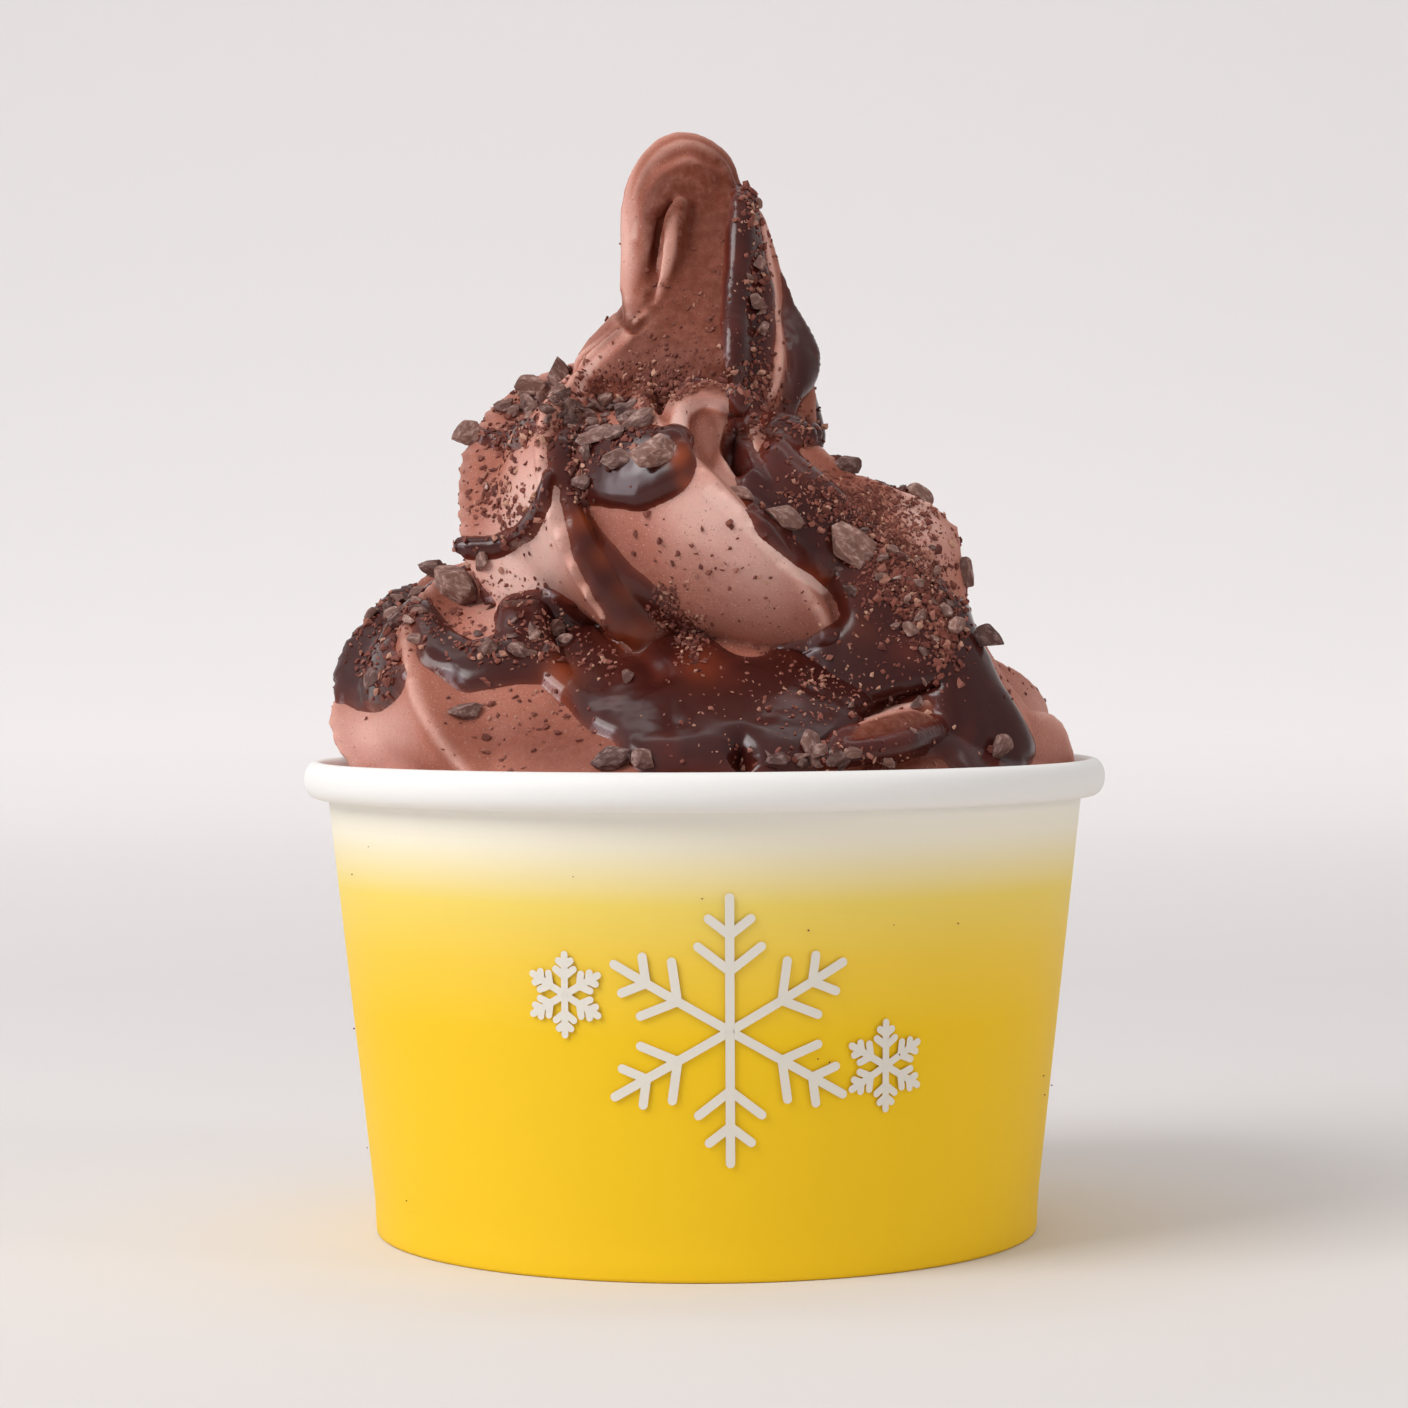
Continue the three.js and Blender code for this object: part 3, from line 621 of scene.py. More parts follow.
def sauce_shell(points, quads):
    """Points, quads, height and warmth of the sauce on the swirl, and its outer sheet alone."""
    normals = normals_of(points, quads)
    near = sauce_inside(points, normals)
    quads = quads[(near[quads] > -SAUCE_REACH).any(1)]
    quads, points, normals, near = compact(quads, points, normals, near)
    inside = near + waves_at(points, SAUCE_EDGE_WAVES)
    quads = quads[(inside[quads] > -DIP_WIDTH).any(1)]
    quads, points, normals, inside = compact(quads, points, normals, inside)
    height = sauce_height(inside)
    waves = waves_at(points, SAUCE_TOP_WAVES) * np.clip(inside / WAVES_WIDTH, 0, 1)
    edges = edges_of(quads)
    for _ in range(3):
        normals = unit(neighbour_mean(normals, edges))
    outer = relaxed(points + normals * (height + waves)[:, None], edges)
    shell = closed_shell(outer, points - normals * SAUCE_UNDERSIDE, quads)
    return *shell, np.tile(height, 2), np.tile(warmth(points), 2), (outer, quads)


# ---- Nibs and crumbs ----

# On the front: x, z, long side, short side, lean of the long side as seen, and for some the least shade.
PLACED_NIBS = [
    (-5.6, 92.1, 4.8, 4.3, -15, 0.95), (-10.1, 91.5, 4.2, 2.6, -5), (-12.6, 94.2, 5.4, 2.1, 3),
    (-7.2, 95.7, 4.3, 2.7, 25), (-9, 97.4, 2.9, 2, 15), (-15.4, 97.6, 2.6, 1.5, -5),
    (-12.9, 97.7, 2.8, 1.2, -25), (-15.7, 96.2, 2.7, 1.3, -20), (-17.2, 101.2, 4.8, 2.7, 108),
    (-20.6, 100.2, 3.8, 2.4, 10), (-27.6, 94.2, 3.5, 3.2, 60), (-13.8, 92.1, 1.9, 1.3, 110),
    (-14.2, 88.7, 2.2, 1.8, 30), (9.2, 84.2, 4.6, 2.8, -25, 0.8), (17.3, 81, 6.6, 3.9, -28, 0.95),
    (17.1, 90.6, 3.2, 2.2, 0), (4.3, 87.3, 4, 1.6, -20), (30.8, 77.8, 3.6, 2, 95), (33, 69.6, 3.8, 3, -20),
    (12.9, 56.6, 4.6, 2.2, -60), (35, 56.8, 3.2, 2.4, 60), (29.8, 71.3, 2.6, 2, 60),
    (-30.1, 76, 6, 4.4, -35), (-32.4, 78, 3.8, 2.4, -10), (-36.4, 72.3, 2.4, 2, 20),
    (-39.3, 65.3, 2.6, 2.2, 50), (-28.5, 61.2, 3.9, 2.3, 10), (-25.7, 68.8, 2.3, 1.9, 30),
    (-22.2, 68.6, 2.4, 1.7, -30), (-18, 71.4, 2.4, 2.1, 0), (-16.4, 69.7, 2, 1.7, 40),
    (-9.2, 65.3, 1.8, 1.4, 60), (-10.6, 55.4, 5.4, 2.8, 4), (-7.2, 55.6, 3, 2.4, -20),
    (-34.4, 70, 1.7, 1.4, 0), (6.5, 114.7, 2.1, 1.8, 80), (6.3, 109.8, 2.6, 2, -20),
    (7.2, 106.8, 1.7, 1.5, 30), (8.5, 55.2, 2.8, 1.8, 10),
]
# For each bearing: middle x and z, half spread in x and z, how many, longest side.
NIB_PATCHES = {
    0: [
        (-12, 96.6, 6.4, 2.2, 26, 1.9), (-21, 98.6, 4.8, 2, 30, 2), (-36.4, 74.4, 3.6, 2.6, 18, 1.9),
        (-22, 70, 6, 2.6, 10, 1.5), (20, 79, 6, 4, 8, 1.5), (26, 75, 4, 6, 16, 1.6),
        (7, 113, 1.6, 9, 7, 1.1), (15, 55.8, 8, 0.8, 8, 2), (24, 62, 6, 4, 5, 1.4),
    ],
    90: [(2, 84, 9, 5, 8, 4), (0, 78, 16, 12, 26, 2)],
    180: [(2, 88, 10, 5, 10, 4), (-4, 70, 18, 5, 9, 3.8), (0, 78, 20, 14, 34, 2)],
    270: [(0, 88, 9, 5, 6, 4), (0, 80, 16, 12, 26, 2)],
}
NIB_JITTER = 0.16  # as a share of the spread
BIG_NIB = 2.2  # from this size up a nib has the finer form
NIB_CUTS, CRUMB_CUTS = 16, 2
NIB_SUNK, CRUMB_SUNK = 0.2, 0.15  # share of the thickness that lies in the surface
SMALL, OFF_OUTLINE = 0.9, 0.4  # larger chunks at the sides and the back stay off the front's outline
TOWARDS_ONLOOKER = 0.7  # how much a chunk turns its broad side to the onlooker
FEW_POINTS, ROUGHENING = 20, 0.24  # each point of so coarse a ball is moved, by this share of its radius
# For each bearing: middle x and z, spread in x and z, how many, middling size, least shade.
CRUMB_PATCHES = {
    0: [
        (-24, 87.4, 2.7, 3.2, 130, 0.6, 0.2), (-22.4, 85.4, 1.8, 1.6, 60, 0.62, 0.2),
        (-22.6, 94.6, 2.6, 1, 130, 0.55, 0.3), (-23, 76.4, 2.4, 2, 60, 0.4, 0.3),
        (-12, 95.6, 5, 2.2, 240, 0.55, 0), (-14.4, 90, 1, 2.4, 110, 0.55, 0),
        (-20.6, 99, 4, 1.6, 160, 0.55, 0), (-5, 99.6, 5.2, 1.1, 420, 0.46, 0.3),
        (-8, 101.4, 4.6, 1.2, 160, 0.4, 0.3), (-2, 104, 6, 3.6, 200, 0.34, 0.25),
        (-1, 110, 3.6, 4, 50, 0.3, 0.25), (18, 86.4, 3.6, 1.6, 320, 0.4, 0.25),
        (21.6, 82, 2.8, 3.4, 340, 0.4, 0.25), (27, 84, 2.4, 2.6, 110, 0.5, 0.25),
        (19, 85.6, 3.6, 1.8, 700, 0.24, 0.2), (22.4, 81, 2.4, 3, 800, 0.26, 0.2),
        (26, 75, 2, 3, 500, 0.3, 0.15), (23, 78, 2.2, 2.4, 300, 0.55, 0.15),
        (27, 73.6, 1.8, 2.8, 330, 0.55, 0.15), (29, 69, 1.2, 2.4, 150, 0.55, 0.15),
        (12, 87.6, 2.6, 2.4, 110, 0.42, 0.2), (20, 73, 4, 3, 70, 0.4, 0.4), (0, 81, 5, 3.4, 40, 0.62, 0.25),
        (7, 73, 4, 4, 40, 0.3, 0.3), (-4.4, 74, 1, 1.5, 150, 0.42, 0.1),
        (-1.4, 70, 1.2, 1.8, 230, 0.42, 0.1), (12.6, 64, 3.6, 2.6, 170, 0.36, 0.7),
        (4, 61, 5, 2.4, 50, 0.34, 0.6), (-39, 67.4, 1.6, 2.4, 110, 0.62, 0.3),
        (-37, 74, 2.6, 1.6, 130, 0.55, 0.1), (-30.6, 72, 2.2, 1.8, 90, 0.45, 0.3),
        (-26, 69, 3, 1.2, 100, 0.5, 0.4), (-18.6, 70.6, 2.2, 1.8, 130, 0.45, 0.5),
        (-13, 67.4, 2, 1.2, 50, 0.45, 0.5), (-20, 60, 5, 2.6, 90, 0.45, 0.25),
        (7, 112, 1, 6, 190, 0.42, 0.3), (6.2, 122, 1.1, 2.2, 120, 0.5, 0.4),
        (6.4, 100, 1.4, 1.6, 120, 0.5, 0.4), (10, 95, 2.4, 1, 80, 0.5, 0.3), (14, 56, 7, 1, 110, 0.5, 0.3),
        (24, 63, 5, 3, 60, 0.4, 0.4),
    ],
    90: [(0, 84, 12, 10, 500, 0.5, 0.2)],
    180: [(0, 80, 16, 15, 650, 0.5, 0.2)],
    270: [(0, 84, 12, 12, 500, 0.5, 0.2)],
}
CRUMB_VARIETY, LARGEST_CRUMB = 0.45, 2.4  # spread of the sizes' logarithm, largest against middling size
# Runs of x, z, half width that no crumb of the front's patches lies on.
CLEAN_RUNS = [
    [(-0.6, 86, 2.4), (-2.6, 92, 2.2), (-2.4, 96, 2.2), (0.4, 98, 2), (3.6, 97, 1.6)],
    [(1, 90, 2.6), (1, 95, 3)],
    [(-9.4, 110, 2), (-9, 118, 2.4), (-5, 127, 3), (0, 127, 3)],
    [(3, 86, 1.4), (8, 81, 1.4), (14, 75.6, 1.4)],
]
# Tone of the soft serve, for each bearing: middle x and z, spread in x and z, strength. Above 0 is pale:
# frost, and painted light on faces turned to the lamp; below 0 is dark: fine powder, and painted shade, as on
# the bare fold and in the groove of the hanging tip.
TONE_PATCHES = {
    0: [
        (-1, 86, 5, 4, 0.6), (3, 83, 5, 5, 0.35), (8, 78, 4, 4, 0.5), (-22, 77, 4, 4, 0.95),
        (-20.6, 86, 4, 6, 1), (-39, 59, 5, 3, 0.65), (-9.2, 118, 1.1, 7, 0.9), (-6.6, 118, 0.8, 5, -0.3),
        (-5, 122, 1.6, 1.6, -0.7), (-4, 116, 1, 4, 0.45), (27.6, 82, 2.4, 4, 0.6), (-26, 54.6, 3, 1, 0.3),
        (-16, 98, 2, 2, 0.4), (-14.6, 103, 2.4, 2.4, 0.6), (-1, 103, 7, 3.4, -0.8), (0.4, 112, 4.4, 6, -1.1),
        (1, 119, 3, 5, -1.3), (-2, 122, 4, 3, -0.9), (-2, 106, 6, 4, -1.2), (0, 126, 4, 2, -0.6),
        (16, 87, 3, 3, -0.6), (20, 82, 3, 3, -0.5), (24.8, 86, 2.2, 2.6, 0.9), (-12.6, 82, 1.6, 5, -0.6),
        (-8, 80, 2, 5, -0.3), (-18, 57.4, 7, 3, -0.8), (-31, 59, 3, 3, -0.4), (-36, 74, 3, 3, -0.8),
        (41, 60, 3, 5, 0.3), (22, 58, 7, 3, -1.8),
    ],
    90: [(0, 92, 12, 12, -0.6)],
    180: [(0, 88, 14, 14, -0.6)],
    270: [(0, 92, 12, 12, -0.6)],
}
# Pale crests of the front, partly frost and partly painted highlight, and dark creases, which are painted
# shade:
# strength, then marks of x, z, half width.
TONE_LINES = [
    [1.2, (0.8, 87.6, 0.5), (5.4, 83.9, 0.8), (10, 79.2, 0.9), (14.2, 76.1, 0.6)],
    [1, (7.4, 119, 0.3), (8.7, 110.9, 0.4), (9.2, 106.6, 0.4), (9.1, 102.3, 0.4), (8.3, 99.3, 0.4)],
    [1, (-6.8, 109, 0.3), (-9.3, 105.9, 0.5), (-12.3, 103.6, 0.5), (-14.3, 101.2, 0.5), (-14.5, 99, 0.4)],
    [1.2, (-2.4, 90.6, 0.6), (-3.1, 94.6, 0.9), (-2.4, 97.4, 0.9), (0, 98.6, 0.8), (3.4, 97.6, 0.8)],
    [-0.5, (0.5, 96.2, 1), (0.8, 93, 1.1), (0.5, 90.6, 0.7)],
    [0.9, (-3.2, 120.4, 0.4), (-3.8, 116.6, 0.6), (-4.8, 112.4, 0.5), (-5.8, 110.2, 0.3)],
    [-2, (-4.9, 119.6, 0.3), (-5.5, 115.6, 0.4), (-6.3, 110.8, 0.4)],
    [-1.2, (-9.8, 110.8, 0.2), (-9.6, 108.2, 0.3), (-8.2, 106.9, 0.4), (-6.8, 108, 0.4)],
    [0.6, (-8, 118, 0.3), (-7.4, 122, 0.4), (-5.4, 125.8, 0.4), (-1.6, 127.4, 0.4), (2.4, 125.6, 0.3)],
    [1.6, (15.6, 58.8, 0.1), (20.8, 61, 0.3), (25.4, 62.2, 0.3)],
]
LINE_EDGE = (-0.5, 0.3)  # from how far outside to how far inside a line's edge its tone grows


def place_on(surface, bearing, x, z):
    """Where the sight line through the mark first meets the surface, and which way it faces there."""
    a = math.radians(-bearing)
    turn = np.array([[math.cos(a), -math.sin(a), 0], [math.sin(a), math.cos(a), 0], [0, 0, 1]])
    eye = turn @ np.array([0, -ONLOOKER_DISTANCE, ONLOOKER_HEIGHT])
    mark = turn @ np.array([x, 0, z])
    point, normal, _, _ = surface.ray_cast(Vector(eye), Vector(mark - eye).normalized())
    return None if point is None else (np.array(point), np.array(normal))


def tone_on(points, normals):
    """Tone at each point of the surface, from -1 for dark, fine powder and painted shade, to 1 for pale,
    frost and painted light.
    """
    total = np.zeros(len(points))
    for bearing, patches in TONE_PATCHES.items():
        x, z = seen_from(bearing, points)
        for *place, strength in patches:
            total += strength * facing(normals, bearing) * falloff(x, z, *place)
    x, z = seen_from(0, points)
    for strength, *run in TONE_LINES:
        total += strength * facing(normals, 0) * smooth_step(inside_run(run, x, z), *LINE_EDGE)
    return np.clip(total, -1, 1)


def unit_sphere(subdivisions):
    bpy.ops.mesh.primitive_ico_sphere_add(subdivisions=subdivisions, radius=1)
    made = bpy.context.object
    points = np.array([tuple(v.co) for v in made.data.vertices])
    faces = np.array([tuple(p.vertices) for p in made.data.polygons])
    bpy.data.objects.remove(made)
    return points, faces


def chunk(ball, rng, sides, cuts):
    """An angular broken chunk: a ball with sides cut flat, stretched to its three sides."""
    points = ball
    for _ in range(cuts):
        way = unit(rng.normal(size=3))
        over = np.maximum(points @ way - rng.uniform(0.45, 0.84), 0)
        points = points - over[:, None] * way
    if len(ball) < FEW_POINTS:
        points = points + ROUGHENING * rng.normal(size=points.shape)
    low, high = points.min(0), points.max(0)
    return (points - (low + high) / 2) / (high - low) * np.array(sides)


def nib_marks(rng):
    """Places, sizes and leans of all nibs, those of the patches spread evenly round their middles."""
    marks = [(0, *nib) for nib in PLACED_NIBS]
    golden = math.pi * (3 - math.sqrt(5))
    for bearing, patches in NIB_PATCHES.items():
        for x, z, spread_x, spread_z, count, size in patches:
            for i in range(count):
                out = math.sqrt((i + 0.5) / count)
                jitter = rng.uniform(-NIB_JITTER, NIB_JITTER, 2)
                across = spread_x * (out * math.cos(golden * i) + jitter[0])
                up = spread_z * (out * math.sin(golden * i) + jitter[1])
                side = size * rng.uniform(0.7, 1.3)
                sides = (side, side * rng.uniform(0.4, 0.8))
                marks.append((bearing, x + across, z + up, *sides, rng.uniform(-60, 60)))
    return marks


def kept_clean(x, z):
    return any(inside_run(run, np.array([x]), np.array([z]))[0] > 0 for run in CLEAN_RUNS)


def crumb_marks(rng):
    marks = []
    for bearing, patches in CRUMB_PATCHES.items():
        for x, z, spread_x, spread_z, count, size, least in patches:
            for _ in range(count):
                side = min(size * math.exp(rng.normal(0, CRUMB_VARIETY)), LARGEST_CRUMB * size)
                place = (x + spread_x * rng.normal(), z + spread_z * rng.normal())
                if bearing == 0 and kept_clean(*place):
                    continue
                sides = (side, side * rng.uniform(0.35, 0.85))
                marks.append((bearing, *place, *sides, rng.uniform(0, 180), least))
    return marks


def lying_axes(bearing, normal, lean):
    """A turning matrix for a chunk on the surface, its long side at the lean as seen."""
    a, b = math.radians(bearing), math.radians(lean)
    up = unit(normal + TOWARDS_ONLOOKER * np.array([-math.sin(a), -math.cos(a), 0]))
    long = np.array([math.cos(a) * math.cos(b), -math.sin(a) * math.cos(b), math.sin(b)])
    long = unit(long - up * (long @ up))
    return np.column_stack([long, np.cross(up, long), up])


def scattered(marks, balls, surface, rng, cuts, sunk):
    """Chunks at the marks as one set of points and faces, with a shade and local places for each point."""
    points, faces, shades, local, start = [], [], [], [], 0
    for bearing, x, z, long, short, lean, *least in marks:
        place = place_on(surface, bearing, x, z)
        if place is None:
            continue
        point, normal = place
        if bearing and long > SMALL and abs(normal[1]) < OFF_OUTLINE:
            continue
        ball_points, ball_faces = balls[0 if long >= BIG_NIB else -1]
        body = chunk(ball_points, rng, (long, short, short * rng.uniform(0.55, 0.85)), cuts)
        matrix = lying_axes(bearing, normal, lean + rng.normal(0, 4))
        half = body[:, 2].max()
        points.append(body @ matrix.T + point + normal * half * (1 - 2 * sunk))
        faces.append(ball_faces + start)
        start += len(body)
        floor = least[0] if least else 0
        shades.append(np.full(len(body), floor + (1 - floor) * rng.uniform()))
        local.append(body + rng.uniform(-20, 20, 3))
    return np.vstack(points), np.vstack(faces), np.concatenate(shades), np.vstack(local)


# ---- Materials ----


class Look:
    """The nodes of a material or world. What goes into a node is a number, a colour or another's output."""

    def __init__(self, owner):
        owner.use_nodes = True
        self.owner, self.nodes, self.links = owner, owner.node_tree.nodes, owner.node_tree.links

    def feed(self, node, inputs):
        for key, value in inputs.items():
            socket = node.inputs[key]
            if isinstance(value, bpy.types.NodeSocket):
                self.links.new(value, socket)
            else:
                socket.default_value = (*value, 1) if socket.type == "RGBA" else value

    def add(self, kind, output, inputs, **settings):
        """An output of a new node."""
        node = self.nodes.new("ShaderNode" + kind)
        for key, value in settings.items():
            setattr(node, key, value)
        self.feed(node, inputs)
        return node.outputs[output]

    def place(self):
        """Places in metres."""
        return self.add("TexCoord", "Object", {})

    def along_axis(self, axis):
        return self.add("SeparateXYZ", axis, {"Vector": self.place()})

    def attribute(self, name, output="Fac"):
        return self.add("Attribute", output, {}, attribute_name=name)

    def noise(self, place, size, detail=3.0, roughness=0.55):
        """Noise with features of that size in millimetres."""
        inputs = {"Vector": place, "Scale": 1 / (size * MM), "Detail": detail, "Roughness": roughness}
        return self.add("TexNoise", "Fac", inputs)

    def ranged(self, value, low, high, to_low=0.0, to_high=1.0):
        inputs = {"Value": value, "From Min": low, "From Max": high, "To Min": to_low, "To Max": to_high}
        return self.add("MapRange", "Result", inputs)

    def times(self, first, second):
        return self.add("Math", 0, {0: first, 1: second}, operation="MULTIPLY")

    def mix(self, share, first, second):
        return self.add("Mix", 2, {0: share, 6: first, 7: second}, data_type="RGBA")

    def ramp(self, value, stops):
        """A colour for the value, from stops of a place and a colour."""
        colour = self.add("ValToRGB", "Color", {"Fac": value})
        elements = colour.node.color_ramp.elements
        while len(elements) < len(stops):
            elements.new(0.5)
        for element, (place, stop) in zip(elements, stops):
            element.position = place
            element.color = (*stop, 1)
        return colour

    def bump(self, height, distance, strength, **normal):
        """A normal, bumped by up to the distance in millimetres."""
        inputs = {"Height": height, "Distance": distance * MM, "Strength": strength, **normal}
        return self.add("Bump", "Normal", inputs)

    def shaded(self, colour, roughness, specular, **inputs):
        """The material, with these on its Principled shader. An underline in a key stands for a space."""
        named = {key.replace("_", " "): value for key, value in inputs.items()}
        named |= {"Base Color": colour, "Roughness": roughness, "Specular IOR Level": specular}
        self.feed(self.nodes["Principled BSDF"], named)
        return self.owner


def new_look(name):
    return Look(bpy.data.materials.new(name))


# By the ridge attribute: the hollow colour is a painted shade, darker in the grooves; the crest colour is
# partly frost and partly a painted highlight.
SWIRL_HOLLOW_SHADE, SWIRL_MIDDLE, SWIRL_CREST_FROST_AND_HIGHLIGHT = (0.22, 0.06, 0.036), (0.43, 0.15, 0.102), (0.68, 0.38, 0.31)
# The pale and palest colours are frost, and also painted light on faces turned to the lamp and on lit crests.
SWIRL_PALE, SWIRL_PALEST = (0.67, 0.355, 0.295), (0.82, 0.53, 0.46)
# The powder colour stands for fine cocoa powder and also for painted shade, on the bare fold, in creases and
# under the hanging tip.
FROST, POWDER_AND_PAINTED_SHADE, SWIRL_SPECK = (0.84, 0.6, 0.53), (0.155, 0.036, 0.018), (0.17, 0.05, 0.035)


def soft_serve_material():
    look = new_look("soft_serve")
    place = look.place()
    # Painted shade in the hollows, and on the crests frost with a painted highlight.
    ridge = look.ranged(look.attribute("ridge"), -0.8, 0.8)
    base = look.ramp(ridge, [(0, SWIRL_HOLLOW_SHADE), (0.5, SWIRL_MIDDLE), (1, SWIRL_CREST_FROST_AND_HIGHLIGHT)])
    # Above 0 the tone paints a pale colour: frost, and painted light on faces turned to the lamp.
    tone = look.attribute("tone")
    frost_and_painted_light = look.ramp(tone, [(0.5, SWIRL_PALE), (1, SWIRL_PALEST)])
    colour = look.mix(look.ranged(tone, 0, 0.6, 0, 0.9), base, frost_and_painted_light)
    frost = look.ranged(look.noise(place, 0.2, detail=1), 0.62, 0.78, 0, 0.5)
    colour = look.mix(frost, colour, FROST)
    # Below 0 the tone paints the powder colour, which is both cocoa powder and painted shade.
    patchy = look.ranged(look.noise(place, 1.3, detail=5, roughness=0.7), 0.3, 0.6, 0.7, 1)
    colour = look.mix(look.times(look.ranged(tone, 0, -1), patchy), colour, POWDER_AND_PAINTED_SHADE)
    specks = look.ranged(look.noise(place, 0.3, detail=2), 0.64, 0.72, 0, 0.6)
    colour = look.mix(specks, colour, SWIRL_SPECK)
    wet = look.ranged(look.noise(place, 14, detail=2), 0.4, 0.62, 0.58, 0.46)
    broad = look.bump(look.noise(place, 2.6), 0.3, 0.5)
    fine = look.bump(look.noise(place, 0.4, detail=4, roughness=0.7), 0.09, 0.6, Normal=broad)
    glow = {"Subsurface_Weight": 0.2, "Subsurface_Radius": (1, 0.4, 0.28), "Subsurface_Scale": 1.0 * MM}
    return look.shaded(colour, wet, 0.14, Normal=fine, **glow)


# Linear colours of the sauce, from its thin edge to its full thickness.
SAUCE_DEPTHS = [
    (0, (0.15, 0.03, 0.016)),
    (0.3, (0.1, 0.019, 0.012)),
    (0.7, (0.065, 0.012, 0.009)),
    (1, (0.046, 0.008, 0.006)),
]
SAUCE_RED, SAUCE_WARM = (0.12, 0.02, 0.012), (0.34, 0.064, 0.018)


def sauce_material():
    look = new_look("sauce")
    place = look.place()
    tint = look.ramp(look.ranged(look.attribute("depth"), 0, SAUCE_THICKNESS), SAUCE_DEPTHS)
    redder = look.ranged(look.noise(place, 8, detail=2), 0.5, 0.72, 0, 0.6)
    colour = look.mix(look.attribute("warm"), look.mix(redder, tint, SAUCE_RED), SAUCE_WARM)
    uneven = look.ranged(look.noise(place, 5), 0.35, 0.7, 0.17, 0.27)
    broad = look.bump(look.noise(place, 3, detail=2), 0.2, 0.25)
    glow = {"Subsurface_Weight": 0.05, "Subsurface_Radius": (1, 0.3, 0.12), "Subsurface_Scale": 1.2 * MM}
    return look.shaded(colour, uneven, 0.34, Normal=broad, **glow)


# Each from the darkest nib to the palest.
NIB_DARK = [(0.065, 0.028, 0.025), (0.26, 0.13, 0.1)]
NIB_PALE = [(0.34, 0.22, 0.2), (0.68, 0.47, 0.41)]
NIB_STAIN = (0.12, 0.055, 0.045)


def nib_material():
    look = new_look("nibs")
    local = look.attribute("local", "Vector")
    stretched = look.add("Mapping", "Vector", {"Vector": local, "Scale": (0.5, 1, 1)})
    fibre = look.noise(stretched, 0.5, detail=5, roughness=0.65)
    shade = look.attribute("shade")
    dark, pale = look.mix(shade, *NIB_DARK), look.mix(shade, *NIB_PALE)
    colour = look.mix(look.ranged(fibre, 0.47, 0.74), dark, pale)
    stain = look.ranged(look.noise(local, 1.8), 0.45, 0.66, 0, 0.6)
    colour = look.mix(stain, colour, NIB_STAIN)
    return look.shaded(colour, 0.7, 0.3, Normal=look.bump(fibre, 0.16, 0.8))


CRUMB_SHADES = [
    (0, (0.065, 0.018, 0.013)),
    (0.3, (0.14, 0.04, 0.029)),
    (0.75, (0.24, 0.074, 0.052)),
    (0.9, (0.36, 0.15, 0.11)),
    (1, (0.55, 0.3, 0.21)),
]


def crumb_material():
    look = new_look("crumbs")
    return look.shaded(look.ramp(look.attribute("shade"), CRUMB_SHADES), 0.78, 0.25)


PAPER_WHITE = (0.88, 0.87, 0.85)
PRINT_HEIGHTS = (27 * MM, 53 * MM)  # where the print is full yellow, and where it has gone
PRINT_COLOURS = [
    (0, (0.93, 0.595, 0.012)),
    (0.3, (0.93, 0.63, 0.06)),
    (0.55, (0.9, 0.69, 0.14)),
    (0.8, (0.91, 0.85, 0.67)),
    (1, PAPER_WHITE),
]


def cup_material():
    """White paper under a print that runs from nothing below the rim to full yellow."""
    look = new_look("cup_paper")
    tint = look.ramp(look.ranged(look.along_axis("Z"), *PRINT_HEIGHTS), PRINT_COLOURS)
    colour = look.mix(look.ranged(look.attribute("printed"), 0.4, 0.6), PAPER_WHITE, tint)
    grain = look.bump(look.noise(look.place(), 0.9, roughness=0.6), 0.03, 0.25)
    return look.shaded(colour, 0.5, 0.18, Normal=grain)


BOARD_COLOUR, BOARD_ROUGHNESS = (0.86, 0.84, 0.8), 0.6
FLAKE_COLOUR, FLAKE_ROUGHNESS = (0.8, 0.76, 0.68), 0.45
PLAIN_SPECULAR = 0.4

# ---- Pieces ----


def finished(made, material):
    made.data.materials.append(material)
    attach(made, "root")
    return made


def with_contents(points, quads):
    """The swirl closed below by the plain contents of the cup."""
    rim = open_edges(quads)
    ring = np.unique(rim)
    points = points.copy()
    points[ring, 2] = CUT_HEIGHT
    bottom = DISC_TOP + CLEARANCE
    scale = (inner_wall(bottom) - CLEARANCE) / np.hypot(points[ring, 0], points[ring, 1])
    lower = np.column_stack([points[ring, :2] * scale[:, None], np.full(len(ring), bottom)])
    place = np.zeros(len(points), int)
    place[ring] = len(points) + np.arange(len(ring))
    centre = len(points) + len(ring)
    faces = quads.tolist()
    for a, b in rim.tolist():
        below_a, below_b = int(place[a]), int(place[b])
        faces += [[b, a, below_a, below_b], [below_b, below_a, centre]]
    return np.vstack([points, lower, [[0, 0, bottom]]]), faces


def make_swirl():
    points, quads, edges = bare_swirl()
    normals = normals_of(points, quads)
    spread = relaxed(points, edges, (0.5,) * RIDGE_SPREAD)
    ridge = ((points - spread) * normals).sum(1) / RIDGE_HEIGHT
    points = points + normals * waves_at(points, SWIRL_WAVES)[:, None]
    whole_points, whole_faces = with_contents(points, quads)
    swirl = mesh_object("soft_serve_swirl", whole_points, whole_faces)
    extra = len(whole_points) - len(points)
    set_attribute(swirl, "ridge", np.pad(ridge, (0, extra)))
    set_attribute(swirl, "tone", np.pad(tone_on(points, normals), (0, extra)))
    finished(swirl, soft_serve_material())
    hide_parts("soft_serve")
    return points, quads


def make_sauce(points, quads):
    shell_points, shell_quads, depth, warm, sheet = sauce_shell(points, quads)
    sauce = mesh_object("chocolate_sauce", shell_points, shell_quads)
    set_attribute(sauce, "depth", depth)
    set_attribute(sauce, "warm", warm)
    finished(sauce, sauce_material())
    return sheet


def make_scatter(name, chunks, material):
    points, faces, shades, local = chunks
    made = mesh_object(name, points, faces, smooth=False)
    set_attribute(made, "shade", shades)
    set_attribute(made, "local", local * MM)
    return finished(made, material)


FOOT_EDGE = [(0, 0.35), (0.15, 0.08)]  # height, how far the outer edge is rounded in
WALL_STEPS = 40
FOLD_FLARE = 0.2


